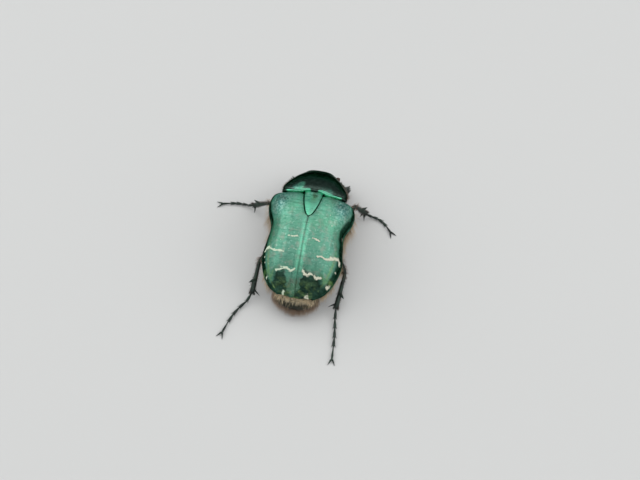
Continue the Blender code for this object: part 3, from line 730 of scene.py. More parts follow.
# %% Painted shade of the sides and tips
# For each side of the beetle, the share across at which the painted shade of the side starts, for shares of
# the length.
SIDE_STARTS = {
    1: [
        (0, 0.42), (0.04, 0.46), (0.08, 0.59), (0.12, 0.68),
        (0.19, 0.67), (0.35, 0.69), (0.52, 0.62), (0.9, 0.66),
    ],
    -1: [
        (0, 0.58), (0.06, 0.65), (0.14, 0.68), (0.24, 0.63),
        (0.4, 0.61), (0.5, 0.62), (0.65, 0.62), (0.86, 0.6),
    ],
}
# For each side of the beetle, the y at which the painted shade of the tip starts, for places x.
TIP_STARTS = {
    1: [
        (0, 9.6), (0.7, 9.55), (1.05, 8.9), (1.35, 8.05),
        (1.93, 7.80), (2.42, 8.2), (2.87, 8.8), (3.2, 8.3),
    ],
    -1: [
        (0, 9.45), (0.3, 9.2), (0.6, 7.75), (1.11, 7.87),
        (1.89, 8.03), (2.48, 8.24), (2.9, 8.5), (3.2, 8.3),
    ],
}
# How strong the painted shade of each tip is.
TIP_SHADE = {1: 0.80, -1: 0.95}


def shading(side, along, across, x, y):
    """How much painted shade, golden sheen, dimming and highlight each point of a wing case has, all of them
    painted light, each from 0 to 1.

    The painted shade is a smooth step past the start of the side or of the tip. Two sines make the tip's
    border waver. The sheen is a bell curve just before the side, with three more places at the rear. The
    dimming grows towards the rear, and the highlights are the ridge along the seam and a place near the base.
    """
    from_side = across - curve(SIDE_STARTS[side], along)
    wavering = x + 0.09 * np.sin(6 * y) + 0.05 * np.sin(15 * y + x)
    from_tip = y - curve(TIP_STARTS[side], wavering)
    # Painted shade: the steep side, the tip, and beside the seam at the rear.
    steep = ramp(from_side, -0.05, 0.16) * (1 - 0.28 * ramp(across, 0.86, 0.99))
    beside_seam = np.maximum(bump(x, 0.0, 0.16), 0.7 * bump(x, 0.75, 0.22) * (side > 0))
    dark = np.max([
        steep,
        TIP_SHADE[side] * ramp(from_tip, -0.6, 0.5),
        0.55 * ramp(y, 7.6, 9.0) * beside_seam,
    ], axis=0)
    # A painted golden sheen along the borders of the painted shade, and in places at the rear.
    warm = np.max([
        bump(from_side, -0.035, 0.035) * ramp(along, 0.35, 0.75),
        0.9 * bump(from_tip, -0.35, 0.25) * ramp(x, 2.2, 2.8),
        0.7 * ramp(y, 8.2, 9.3) * (1 - ramp(x, 1.3, 2.0)),
        0.65 * bump(x, 1.75, 0.45) * bump(y, 9.1, 0.55),
    ], axis=0)
    # Painted dimming, a light painted shade: in the two hollows, in the groove beside the seam, and growing
    # towards the rear.
    left_hollow = 0.35 * bump(x, 1.1, 0.5) * bump(y, 6.6, 1.3)
    right_hollow = 0.65 * bump(x, 1.45, 0.6) * bump(y, 6.2, 1.4)
    dull = np.max([
        left_hollow if side > 0 else right_hollow,
        0.60 * ramp(y, -0.5, 4.8),
        0.60 * bump(x, 0.70 - 0.03 * y, 0.16) * ramp(y, 1.6, 3.0),
    ], axis=0)
    # Painted highlights: the ridge along the seam and a place near the base.
    bright = np.maximum(
        0.30 * bump(x, 0.26 - 0.01 * y, 0.15) * ramp(y, 1.4, 2.2) * (1 - ramp(y, 7.6, 9.2)),
        0.45 * bump(x, 1.35, 0.45) * (1 - ramp(y, 0.2, 1.8)),
    )
    return dark, warm, dull * (1 - bright), bright


print("dark tips start", TIP_STARTS[1][3][1], "mm back on the left and", TIP_STARTS[-1][3][1], "on the right")

# %% [markdown]
# ## The two wing cases as meshes
# A fine grid of shares is laid over the left wing case, and every number is worked out at all its points at
# once. The right case is the same grid with x turned round, and its faces too, so that they still look
# outwards. A real wing case is a thin hard sheet, so the mesh is an open sheet as well, and a Solidify
# modifier gives it its wall. The crust of the pale marks stands a little proud of it.

# %% Wing case meshes
CASE_ROWS, CASE_COLUMNS = 300, 150
SHELL = 0.25
CRUST = 0.02


def open_sheet(name, points, quads, node, **values):
    """A green plate from an open sheet of points. A Solidify modifier grows its wall inwards from it."""
    made = mesh_piece(name, (points.reshape(-1, 3), quads, NO_FACES), **values)
    wall = made.modifiers.new("wall", "SOLIDIFY")
    wall.thickness = SHELL * MM
    wall.offset = -1
    return keep(made, wing_case_green, "shell", node)


def make_wing_case(side):
    """One wing case. The right one is the left one's shape with x turned round, and its faces too."""
    shares = np.linspace(0, 1, CASE_ROWS), np.linspace(0, 1, CASE_COLUMNS)
    along, across = np.meshgrid(*shares, indexing="ij")
    points = wing_case(along, across)
    x, y = points[..., 0], points[..., 1]
    pitted = 0.08 + 1.1 * bump(x, 3.5, 1.0) * bump(y, 0.0, 1.5) + 0.3 * ramp(y, 8.0, 9.5)
    dark, warm, dull, bright = shading(side, along, across, x, y)
    pale = paleness(x, y, MARKS[side]) * (1 - ramp(across, 0.82, 0.93))
    points[..., 2] += CRUST * ramp(pale, 0.3, 0.7)
    quads = weave(CASE_ROWS, CASE_COLUMNS, False)[:, ::side]
    node = f"elytron_{side_name(side)}"
    return open_sheet(
        f"{node}_shell", points * (side, 1, 1), quads, node,
        pitted=np.clip(pitted, 0, 1), dark=dark, warm=warm, dull=dull, bright=bright, pale=pale,
    )


for side in (1, -1):
    make_wing_case(side)

# %% [markdown]
# ## The scutellum
# Between the bases of the wing cases lies a long triangle with a round tip. It is a small plate level with
# them, set off by a groove on each side. The groove is real: the plate's sides turn down and leave a
# narrow gap, and painted shade darkens the plate's border. Its front is tucked a little way under the
# pronotum. A painted highlight makes the left half the brighter one, and near the front lies a dark patch
# of painted reflection with a painted golden sheen.

# %% Scutellum
TUCKED = 0.15
PLATE_ROWS, PLATE_COLUMNS = 90, 60


def scutellum_skin(along, across):
    """Points of the plate, from front to tip (0 to 1) and from its right side to its left (-1 to 1)."""
    y = SCUTELLUM_Y - TUCKED * (1 - along) ** 8 + SCUTELLUM_LENGTH * along
    half = curve(SCUTELLUM_HALF, along)
    turned_down = 0.16 * np.abs(across) ** 8 + 0.12 * np.exp(-along / 0.008)
    turned_down = turned_down + 0.10 * np.exp(-(1 - along) / 0.03)
    hollow = 0.05 * (1 - across**2) * bump(along, 0.25, 0.3)
    ahead = 0.27 * np.maximum(0, BASE_Y - y)
    z = curve(SEAM_Z, along_back(y)) - ahead - 0.05 * (across * half) ** 2 - turned_down - hollow
    return np.stack([across * half, y, z], axis=-1)


shares = np.linspace(0, 1, PLATE_ROWS), np.linspace(-1, 1, PLATE_COLUMNS)
along, across = np.meshgrid(*shares, indexing="ij")
# Painted light on the plate: a dark painted reflection near the front, painted shade along the groove and at
# the front edge, a painted golden sheen and painted highlights, strongest on the left.
reflection_patch = 0.66 * bump(across, -0.20, 0.42) * bump(along, 0.19, 0.17)
groove_shade = ramp(np.abs(across), 0.95, 1.03) + ramp(along, 0.05, 0.01)
open_sheet(
    "scutellum_plate",
    scutellum_skin(along, across),
    weave(PLATE_ROWS, PLATE_COLUMNS, False),
    "scutellum",
    pitted=0.4 * bump(along, 0.08, 0.12),
    dark=reflection_patch + groove_shade,
    warm=0.6 * bump(across, -0.12, 0.35) * bump(along, 0.2, 0.2),
    bright=0.42 + 0.55 * bump(across, 0.45, 0.38),
)

# %% [markdown]
# ## Cross-sections of the body
# The prothorax and the hind body are built of rings. The upper half of a ring is a superellipse and the
# lower half a plain half ellipse, and the two meet at the height of the body's side. Each ring is set by
# its half-width and three heights, and each of those is a smooth curve along the body.

# %% Body rings
ROUNDING = 1e-9


def section(angle, half, under_half, top, side, under):
    """x and z round a ring. The angle starts at the left side and rises over the back.

    Above, they are the cosine and the sine, both to the power ARCH. Below, they are plain cosine and sine.
    """
    cos, sin = np.cos(angle), np.sin(angle)
    above = sin >= -ROUNDING
    out = np.where(above, np.sign(cos) * np.abs(cos) ** ARCH * half, cos * under_half)
    up = np.where(above, side + (top - side) * np.abs(sin) ** ARCH, side + (side - under) * sin)
    return out, up


def ring_grid(rows, columns):
    """Shares along a body and angles round it, as two grids."""
    turn = np.arange(columns) / columns * 2 * math.pi
    return np.meshgrid(np.linspace(0, 1, rows), turn, indexing="ij")


PROTHORAX_FRONT_Y = -5.95
FRONT_LEAN = 0.85
PROTHORAX_HALF = [(0, 1.8), (0.15, 2.2), (0.35, 2.78), (0.6, 3.32), (0.8, 3.6), (1, 3.62)]
PROTHORAX_TOP = [(0, 4.45), (0.2, 5.3), (0.45, 6.12), (0.7, 6.65), (0.88, 6.88), (1, 6.84)]
PROTHORAX_SIDE = [(0, 3.3), (0.3, 3.95), (0.6, 4.65), (0.85, 5.25), (1, 5.45)]
PROTHORAX_UNDER = [(0, 2.7), (0.3, 2.2), (0.6, 2.0), (1, 2.1)]
HIND_EDGE = [(0, -1.97), (0.9, -1.97), (1.25, -1.9), (1.7, -1.6), (2.4, -1.5), (3.1, -1.58), (3.7, -1.85)]
HIND_UNDER = [(0, -1.42), (1.6, -1.42), (2.8, -1.97), (3.7, -1.97)]
HIND_REACH = 0.12
print("prothorax", 2 * PROTHORAX_HALF[-1][1], "mm wide")

# %% [markdown]
# ## The pronotum
# The plate behind the head is domed, widest at the back, and its hind edge is notched for the scutellum.
# The edge itself is rolled, and a painted highlight makes a bright line along the roll. Here the hind edge
# depends on how far a point lies from the middle, and the roll is a bell curve close to the edge, followed by
# a drop to the wing cases. The plate's green is covered with painted shade, the reflection of dark
# surroundings, so it looks black, all but the roll, a patch of painted reflection on the left and a faint one
# on the right.

# %% Pronotum
# Below this height the pronotum gets none of its painted green reflection and none of its painted highlight.
LOWEST_GREEN = 5.2


def pronotum_edge(x):
    """How far back the hind edge lies. In the middle it reaches over the front of the scutellum."""
    middle = 0.20 * bump(x, 0, 1.6) + 0.22 * bump(np.abs(x), 1.2, 0.50)
    return curve(HIND_EDGE, np.abs(x)) + HIND_REACH + middle


def prothorax_skin(s, angle):
    """Points of the prothorax, from its front (0) to its hind edge (1) and round it."""
    half = curve(PROTHORAX_HALF, s)
    top, side, under = (curve(knots, s) for knots in (PROTHORAX_TOP, PROTHORAX_SIDE, PROTHORAX_UNDER))
    x, z = section(angle, half, half * 0.93, top, side, under)
    front_y = PROTHORAX_FRONT_Y - 0.05 * x * x + FRONT_LEAN * (top - z) / (top - under)
    above = np.sin(angle) > 0
    hind_y = np.where(above, pronotum_edge(x), curve(HIND_UNDER, np.abs(x)))
    y = front_y + (hind_y - front_y) * s
    up = np.maximum(0, np.sin(angle))
    from_edge = hind_y - y
    roll = 0.06 * bump(from_edge, 0.15, 0.11) - 0.26 * np.exp(-from_edge / 0.035)
    roll = roll + 0.05 * bump(s, 0.03, 0.02)
    around = np.abs(np.angle(np.exp(1j * angle)))
    keel = 0.07 * bump(around, 0.0, 0.10) + 0.07 * bump(around, math.pi, 0.10)
    return np.stack([x + np.sign(x) * keel, y, z + roll * np.minimum(1, up * 3)], axis=-1)


def pronotum_painted_light(points):
    """How much painted green reflection the shell has, then how much painted highlight, then the rolled hind
    edge by itself.

    The painted green lies on the rolled edge, a patch before it on the left, wider to the rear, and faintly
    on the right.
    """
    x, y, z = np.moveaxis(points, -1, 0)
    from_edge = pronotum_edge(x) - y
    ends = ramp(np.abs(x), 0.25, 0.7) * (1 - ramp(np.abs(x), 2.9, 3.3))
    width = 0.15 + 0.18 * bump(np.abs(x), 1.4, 0.8)
    rim = 1.3 * (1 - ramp(from_edge, width, width + 0.14)) * ends
    back = y + 2.7
    patch = bump(x, 1.55 + 0.25 * back, 0.36 + 0.48 * np.maximum(back, 0)) * ramp(back, -0.35, 0.05) * (x > 0)
    right_reflection = 0.40 * bump(x, -1.4, 1.0) * ramp(y, -3.0, -2.2) * (x <= 0)
    green = np.max([rim, patch, right_reflection], axis=0)
    upper = z > LOWEST_GREEN
    return green * upper, np.maximum(rim, 0.6 * patch) * upper, rim * upper


s, angle = ring_grid(190, 200)
s = 1 - (1 - s) ** 1.3
prothorax_rings = prothorax_skin(s, angle)
painted_green, bright, rim = pronotum_painted_light(prothorax_rings)
beside_middle = ramp(np.abs(prothorax_rings[..., 0]), 1.2, 3.0)
pitted = np.clip(1 - rim, 0, 1) * (0.3 + 0.7 * beside_middle)
# Painted shade covers all that the painted green reflection leaves, and the painted highlight lies on the rim
# and the patch.
pronotum = mesh_piece(
    "pronotum_shell",
    closed(prothorax_rings),
    pitted=np.append(pitted.ravel(), [0, 0]),
    dark=np.append(1 - painted_green.ravel(), [1, 1]),
    bright=np.append(np.clip(bright, 0, 1).ravel(), [0, 0]),
)
keep(pronotum, pronotum_green, "shell", "prothorax")

# %% [markdown]
# ## The hind body
# Under the wing cases lies the rest of the trunk: the thorax, which carries four of the legs, and the
# abdomen, whose underside is a row of plates that each step up to the next. Only their sides and undersides
# show, so that is where the rings have relief: seams between the side plates, and a small step at each
# abdominal plate.

# %% Thorax and abdomen
THORAX_Y = (-1.42, 3.2)
ABDOMEN_Y = (3.2, 8.9)
BELLY_Z = [(-1.2, 1.95), (0, 1.6), (1.8, 1.5), (3.4, 1.6), (5.5, 1.65), (7.3, 1.85), (9.1, 2.35)]
INSIDE = [(-1.0, 1.55), (-0.2, 1.2), (0.5, 0.95), (1.5, 0.9), (4.0, 0.9), (6.8, 0.9), (8.65, 1.2)]
STERNITES = 6
EDGE_BY_Y = [(row[2], row[1]) for row in EDGE]
EDGE_Z_BY_Y = [(row[2], row[3]) for row in EDGE]


def hind_body_skin(y, angle):
    """Points of the trunk: well inside the wing cases above their edge, and level with them below it."""
    half = curve(EDGE_BY_Y, y)
    inside = curve(INSIDE, y)
    top = curve(SEAM_Z, along_back(y)) - inside
    side = curve(EDGE_Z_BY_Y, y) - 0.2
    return (y, *section(angle, half - inside, half - 0.28, top, side, curve(BELLY_Z, y)))


def thorax_skin(s, angle):
    """Points of the thorax, with a seam along the middle of the breast and a slanting one on each side."""
    y, x, z = hind_body_skin(THORAX_Y[0] + (THORAX_Y[1] - THORAX_Y[0]) * s, angle)
    below = np.maximum(0, -np.sin(angle))
    seam = 0.10 * bump(x, 0, 0.10) + 0.10 * bump(np.abs(x), 3.2 - 0.5 * s, 0.10)
    across_seam = 0.10 * bump(y, 1.0, 0.10)
    return np.stack([x, y, z + (seam + across_seam) * below], axis=-1)


def abdomen_skin(s, angle):
    """Points of the abdomen, whose plates rise towards their hind edges and then step back."""
    y, x, z = hind_body_skin(ABDOMEN_Y[0] + (ABDOMEN_Y[1] - ABDOMEN_Y[0]) * s, angle)
    step = (s * STERNITES) % 1
    below = np.clip(-np.sin(angle) + 0.15, 0, 1)
    relief = 0.13 * ramp(step, 0.80, 0.97) * below
    grow = 1 - relief / 4
    return np.stack([x * grow, y, z + relief], axis=-1)


for name, skin, rows in (("thorax", thorax_skin, 90), ("abdomen", abdomen_skin, 150)):
    piece = mesh_piece(f"{name}_plates", closed(skin(*ring_grid(rows, 150))))
    keep(piece, belly_dark, "underside", name)

# %% [markdown]
# ## The pygidium
# The last plate of the back isn't covered by the wing cases. It is a broad dome that falls almost straight
# down behind them. Rings of the same section shrink towards its middle: their size is the cosine of a
# quarter turn and their distance back is the sine, both to a power that makes the dome blunter.

# %% Pygidium
PYGIDIUM_HALF = 2.55
PYGIDIUM_LENGTH = 1.62
PYGIDIUM_Z = 2.25
PYGIDIUM_Y = 8.9


def pygidium_skin(s, angle):
    """Points of the dome, from the flat that meets the abdomen (0) to its middle (1)."""
    out = np.cos(s * math.pi / 2) ** 0.8
    back = PYGIDIUM_LENGTH * np.sin(s * math.pi / 2) ** 0.9
    x, z = section(angle, PYGIDIUM_HALF * out, PYGIDIUM_HALF * out, 0.9 * out, 0, -0.8 * out)
    return np.stack([x, PYGIDIUM_Y + back, PYGIDIUM_Z + z - 0.3 * back], axis=-1)


s, angle = ring_grid(60, 120)
pygidium = mesh_piece("pygidium_shield", closed(pygidium_skin(s * 0.985, angle)))
keep(pygidium, pygidium_black, "shell", "pygidium")

# %% [markdown]
# ## The head
# The head hangs from the neck and slopes steeply down. Seen from above it is a box: behind are the eyes,
# and in front the clypeus, a square plate with a raised rim. Its rings are squarer still than those of the
# body, so their sine and cosine are taken to a smaller power. The first of them lie inside the prothorax,
# so no gap shows at the neck. Its shell is a deep green of its own, darkened with painted shade like the
# pronotum, and evenly pitted.

# %% Head
NECK = np.array([0, PROTHORAX_FRONT_Y + 0.22, 3.1])
HEAD_SLOPE = math.radians(62)
HEAD_LENGTH = 2.45
HEAD_SUNK = 0.2
HEAD_SQUARE = 0.55
HEAD_HALF = [(0, 1.25), (0.3, 1.12), (0.48, 1.0), (0.58, 1.12), (0.8, 1.16), (0.95, 1.12), (1, 1.06)]
HEAD_TOP = [(0, 0.75), (0.3, 0.66), (0.6, 0.42), (0.88, 0.28), (1, 0.42)]
HEAD_UNDER = [(0, 0.85), (0.4, 0.8), (0.7, 0.5), (1, 0.12)]
FORWARD = np.array([0, -math.cos(HEAD_SLOPE), -math.sin(HEAD_SLOPE)])
UPWARD = np.array([0, -math.sin(HEAD_SLOPE), math.cos(HEAD_SLOPE)])


def head_place(s, across, up):
    """Places on the head: the share of its length from the neck, then distances across and up from there."""
    s, across, up = np.broadcast_arrays(s, across, up)
    side = np.stack([across, 0 * across, 0 * across], axis=-1)
    return NECK + FORWARD * (HEAD_LENGTH * s)[..., None] + side + UPWARD * up[..., None]


def head_skin(s, angle):
    """Points of the head, from the neck (0) to the front edge of the clypeus (1)."""
    cos, sin = np.cos(angle), np.sin(angle)
    out = np.sign(cos) * np.abs(cos) ** HEAD_SQUARE
    lift = np.sign(sin) * np.abs(sin) ** HEAD_SQUARE
    above = sin > 0
    rim = 0.10 * bump(np.abs(out), 0.93, 0.06) * ramp(s, 0.5, 0.65)
    front = 0.08 * bump(s, 0.97, 0.03)
    keel = 0.05 * bump(out, 0, 0.12) * ramp(s, 0.2, 0.4) * (1 - ramp(s, 0.75, 0.9))
    tall = np.where(above, curve(HEAD_TOP, s), curve(HEAD_UNDER, s))
    return head_place(s, out * curve(HEAD_HALF, s), lift * tall + (rim + front + keel) * above)


s, angle = ring_grid(110, 120)
# The head's painted shade is even, like the pronotum's.
head = mesh_piece(
    "head_shell", closed(head_skin(s * (1 + HEAD_SUNK) - HEAD_SUNK, angle)),
    pitted=np.full(s.size + 2, 0.6), dark=np.full(s.size + 2, 0.85),
)
keep(head, head_green, "shell", "head")

# %% [markdown]
# ## Rods, the shape of every limb
# A leg joint, a feeler joint and even an eye are rods: they start thin, swell, and end. A rod here is a row
# of rings on a straight middle line. Its width and depth are smooth curves along it, and a power of a sine
# rounds its ends. A helper returns the rod's surface as a function, because the hair needs it later to find
# roots. A spine is simpler, a cone whose middle line may bend.

# %% Rods
LEFTWARD, REARWARD, UPRIGHT = np.eye(3)


def unit(vectors):
    """Vectors of length one that point the same way."""
    vectors = np.asarray(vectors, float)
    return vectors / np.linalg.norm(vectors, axis=-1, keepdims=True)


def rod_skin(start, end, side, width, depth, blunt=0.5, ridges=0.0):
    """The surface of a rod as a function of the share of its length and the angle round it.

    The ends are rounded by the sine of half a turn to the power blunt. ridges lifts three low ridges that run
    along the rod.
    """
    start, end = np.array(start, float), np.array(end, float)
    way = unit(end - start)
    across = unit(side - (side @ way) * way)
    deep = np.cross(way, across)

    def skin(share, angle):
        s = (1 - np.cos(math.pi * share)) / 2
        swell = np.sin(math.pi * np.clip(share, 0, 1)) ** blunt / 2
        swell = swell * (1 + ridges * np.cos(3 * angle))
        middle = start + s[..., None] * (end - start)
        out = (np.cos(angle) * swell * curve(width, s))[..., None] * across
        up = (np.sin(angle) * swell * curve(depth, s))[..., None] * deep
        return middle + out + up

    return skin


def rod(skin, rows, columns):
    """A closed shape from a rod's surface, all but the last hundredth at each end."""
    share, angle = ring_grid(rows, columns)
    return closed(skin(0.01 + 0.98 * share, angle))


def spine(root, tip, radius, bend, rows, columns):
    """A tapered spine whose middle line bends sideways towards its tip."""
    root, tip, bend = (np.array(v, float) for v in (root, tip, bend))
    t, angle = ring_grid(rows, columns)
    way = unit(tip - root)
    side = unit(np.cross(way, (0.31, 0.22, 0.93)))
    up = np.cross(way, side)
    size = (radius * (1 - t) ** 0.8 + 0.012)[..., None]
    middle = root + t[..., None] * (tip - root) + (t**2)[..., None] * bend
    return closed(middle + size * (np.cos(angle)[..., None] * side + np.sin(angle)[..., None] * up))


print("axes of the body:", LEFTWARD, REARWARD, UPRIGHT)

# %% [markdown]
# ## The eyes
# The eyes bulge from the sides of the head just in front of the prothorax. Each is a dome half sunk in the
# head. A rod that lies across the head and is about as thick as it is long has just that shape, so the eye
# needs no helper of its own.

# %% Eyes
def make_eye(side):
    """One eye, a rounded dome half sunk in the side of the head."""
    middle = head_place(0.27, side * 1.32, 0.05)
    out = side * 0.56 * LEFTWARD
    skin = rod_skin(middle - out, middle + out, FORWARD, [(0, 1.05), (1, 1.05)], [(0, 1.15), (1, 1.15)])
    node = f"eye_{side_name(side)}"
    return keep(mesh_piece(f"{node}_dome", rod(skin, 40, 48)), eye_black, "eye", node)


for side in (1, -1):
    make_eye(side)

# %% [markdown]
# ## Feelers and palps
# A feeler has a stout first joint, the scape, then a string of bead-like joints, and a club of three leaves
# that can fan out. The palps are short feelers of the mouth, each on a stout jaw. Both are chains of rods
# that overlap a little, so a loop sets one rod after another along a line.

# %% Feelers and palps
BEADS = 6


def make_feeler(side):
    """One feeler: scape, six beads and three leaves that share a root."""
    root = head_place(0.7, side * 1.2, -0.25)
    bend = root + (side * 0.75, -0.15, 0.2)
    club = bend + (side * 0.1, -0.4, -0.05)
    scape_width = [(0, 0.24), (0.6, 0.40), (1, 0.34)]
    scape_depth = [(0, 0.24), (0.6, 0.38), (1, 0.3)]
    shapes = [rod(rod_skin(root, bend, UPRIGHT, scape_width, scape_depth), 24, 18)]
    bead = [(0, 0.26), (1, 0.34)]
    for i in range(BEADS):
        start, end = (bend + (club - bend) * (i + reach) / BEADS for reach in (-0.15, 1.15))
        shapes.append(rod(rod_skin(start, end, UPRIGHT, bead, bead), 10, 14))
    leaf_width = [(0, 0.25), (0.5, 0.52), (1, 0.46)]
    leaf_depth = [(0, 0.2), (0.5, 0.26), (1, 0.22)]
    for turn in (-0.45, 0.0, 0.45):
        tip = club + (-side * 0.15, -0.48 + 0.2 * turn, -0.45 + 0.75 * turn)
        leaf = rod_skin(club, tip, side * LEFTWARD + 0.5 * REARWARD, leaf_width, leaf_depth)
        shapes.append(rod(leaf, 20, 18))
    node = f"antenna_{side_name(side)}"
    return keep(mesh_piece(f"{node}_joints", together(shapes)), feeler_brown, "feeler", node)


def make_palp(side):
    """One palp of three joints, on the stout jaw that carries it."""
    root = head_place(0.60, side * 0.5, -1.25)
    jaw = head_place(0.55, side * 0.45, -0.35)
    way = np.array([side * 0.35, -0.85, -0.35])
    stout = [(0, 0.55), (0.6, 0.5), (1, 0.34)]
    shapes = [rod(rod_skin(jaw, root + way * 0.1, LEFTWARD, stout, stout), 14, 16)]
    for start, end, thick in ((-0.15, 0.36, 0.26), (0.30, 0.68, 0.28), (0.62, 1.08, 0.30)):
        size = [(0, thick * 0.8), (0.7, thick), (1, thick * 0.7)]
        shapes.append(rod(rod_skin(root + way * start, root + way * end, LEFTWARD, size, size), 12, 14))
    node = f"palp_{side_name(side)}"
    return keep(mesh_piece(f"{node}_joints", together(shapes)), feeler_brown, "feeler", node)


for side in (1, -1):
    make_feeler(side)
    make_palp(side)

# %% [markdown]
# ## The shoulder wedges
# Between the pronotum's hind corner and the shoulder of a wing case shows a small plate of the thorax. In
# this kind of beetle it juts up far enough to be seen from above. It is dark, so a short blunt rod that
# lies across the shoulder is enough.

# %% Shoulder wedges
def make_wedge(side):
    """The small plate that shows between the pronotum's corner and a shoulder."""
    skin = rod_skin(
        (side * 2.9, -1.5, 4.45), (side * 4.2, -1.55, 4.3), UPRIGHT,
        [(0, 1.3), (0.5, 1.35), (1, 0.9)], [(0, 0.6), (1, 0.55)], 0.4,
    )
    name = side_name(side)
    wedge = mesh_piece(f"wedge_{name}", rod(skin, 30, 30))
    return keep(wedge, belly_dark, "underside", f"mesepimeron_{name}")


for side in (1, -1):
    make_wedge(side)

# %% [markdown]
# ## The legs
# Each leg has a thick thigh, a toothed shin that widens towards its end, and a foot of five small joints
# and two claws. Four places fix it: hip, knee, ankle and the points that the foot passes. They are the same
# places that the solids were built from. The thigh and shin are rods that are wide in the plane in which
# the leg bends.

# %% Places and sizes of the legs
# For each leg: hip, knee, ankle, and the points that the foot passes.
LEGS = {
    "front_left": (
        (1.15, -3.55, 1.25), (3.45, -4.15, 2.4), (2.95, -6.3, 0.95),
        [(2.75, -6.85, 0.45), (2.1, -7.5, 0.24), (1.0, -7.85, 0.2)],
    ),
    "front_right": (
        (-1.15, -3.55, 1.25), (-3.4, -4.1, 2.4), (-2.95, -6.2, 0.95),
        [(-2.75, -6.75, 0.45), (-2.15, -7.4, 0.24), (-1.1, -7.8, 0.2)],
    ),
    "middle_left": (
        (2.35, -0.15, 1.15), (5.2, -1.5, 2.9), (7.3, -1.95, 0.95),
        [(7.85, -2.15, 0.45), (9.2, -2.3, 0.24), (11.2, -1.9, 0.2)],
    ),
    "middle_right": (
        (-2.35, -0.15, 1.15), (-4.6, -2.85, 3.0), (-5.95, -3.35, 0.85),
        [(-6.5, -3.4, 0.42), (-7.7, -3.2, 0.24), (-9.2, -1.75, 0.2)],
    ),
    "hind_left": (
        (2.4, 2.75, 1.15), (4.8, 5.75, 2.3), (5.0, 9.1, 0.95),
        [(5.3, 9.7, 0.45), (6.35, 11.2, 0.24), (7.35, 14.1, 0.2)],
    ),
    "hind_right": (
        (-2.4, 2.75, 1.15), (-4.85, 5.5, 2.3), (-4.5, 9.15, 0.95),
        [(-4.55, 9.85, 0.45), (-4.85, 11.9, 0.24), (-5.05, 14.9, 0.2)],
    ),
}
# Width and depth of the thigh, then of the shin.
THICKNESS = {
    "front": (1.15, 0.85, 0.85, 0.52),
    "middle": (1.2, 0.85, 0.70, 0.52),
    "hind": (1.6, 0.95, 0.70, 0.55),
}
# Where the teeth stand, as shares of the shin, and how many spurs end it.
TEETH = {"front": (0.50, 0.72, 0.93), "middle": (0.58,), "hind": (0.60,)}
SPURS = {"front": 1, "middle": 2, "hind": 2}
FOOT_STOPS = [0, 0.2, 0.38, 0.56, 0.73, 1]
FOOT_THICKNESS = 0.34
CROWN_SPINES = 10
CLAW_HEIGHT = 0.05
leg_skins = {}


def joints(name):
    """The hip, the knee and the ankle of a leg."""
    return (np.array(place, float) for place in LEGS[name][:3])


def leg_ways(name):
    """The unit vectors of a leg: along thigh and shin, across the hinge, and outwards from the shin."""
    hip, knee, ankle = joints(name)
    thigh, shin = unit(knee - hip), unit(ankle - knee)
    hinge = unit(np.cross(thigh, shin))
    outward = np.cross(hinge, shin)
    return thigh, shin, hinge, outward if outward @ thigh > 0 else -outward


print("legs:", *LEGS)

# %% Thighs
def make_thigh(name):
    """The thigh, with the small ring at the hip that it turns in."""
    hip, knee, _ = joints(name)
    thigh, _, hinge, _ = leg_ways(name)
    wide, deep, _, _ = THICKNESS[name.split("_")[0]]
    skin = rod_skin(
        hip - thigh * 0.15, knee + thigh * 0.12, np.cross(hinge, thigh),
        [(0, 0.6), (0.45, wide), (0.8, wide * 0.72), (1, 0.55)], [(0, 0.6), (0.45, deep), (1, 0.5)], 0.45,
    )
    leg_skins[f"femur_{name}"] = skin
    inward = hip * (0.45, 1, 1) + (0, 0.1, 0.75)
    socket = rod_skin(inward, hip + thigh * 0.12, REARWARD, [(0, 1.5), (1, 1.0)], [(0, 1.5), (1, 0.9)])
    shape = together([rod(skin, 50, 36), rod(socket, 26, 28)])
    return keep(mesh_piece(f"thigh_{name}", shape), leg_black, "underside", f"femur_{name}")


print("widest thigh", max(row[0] for row in THICKNESS.values()), "mm")

# %% [markdown]
# ## Shins and feet
# A shin bears teeth on its outer side, for digging, and movable spurs inside its end. The joints of a foot
# are short and widen to their ends, so they look like a row of small funnels, one set in another. The last
# one is long and slim and carries the claws. Where a joint would dip below the floor it is lifted, and the
# tips of the claws are set just above it, because the beetle stands on them.

# %% Shins
def make_shin(name):
    """The shin with its outer teeth, the spurs inside its end, and a crown of spines round the ankle."""
    pair = name.split("_")[0]
    _, knee, ankle = joints(name)
    _, shin, hinge, outward = leg_ways(name)
    _, _, wide, deep = THICKNESS[pair]
    skin = rod_skin(
        knee - shin * 0.12, ankle + shin * 0.08, outward,
        [(0, 0.50), (0.2, 0.42), (0.7, wide * 0.8), (1, wide)], [(0, 0.45), (0.3, 0.40), (1, deep)],
        0.3, ridges=0.05,
    )
    leg_skins[f"tibia_{name}"] = skin
    shapes = [rod(skin, 60, 36)]
    for share in TEETH[pair]:
        root = knee + (ankle - knee) * share + outward * 0.12
        shapes.append(spine(root, root + outward * 0.62 + shin * 0.32, 0.21, shin * 0.10, 10, 14))
    for i in range(SPURS[pair]):
        spread = hinge * (i - (SPURS[pair] - 1) / 2)
        root = ankle - shin * 0.35 - outward * 0.15 + spread * 0.3
        way = unit(shin * 0.45 - outward * 0.8 + spread * 0.7)
        shapes.append(spine(root, root + way * 0.8, 0.10, shin * 0.12, 10, 10))
    for turn in np.arange(CROWN_SPINES) / CROWN_SPINES * 2 * math.pi:
        out = outward * math.cos(turn) * wide * 0.42 + hinge * math.sin(turn) * deep * 0.42
        root = ankle - shin * 0.06 + out
        shapes.append(spine(root, root + shin * 0.26 + out * 0.25, 0.035, (0, 0, 0), 4, 6))
    return keep(mesh_piece(f"shin_{name}", together(shapes)), leg_black, "underside", f"tibia_{name}")


print("teeth on a front shin:", len(TEETH["front"]), "and on the others:", len(TEETH["middle"]))

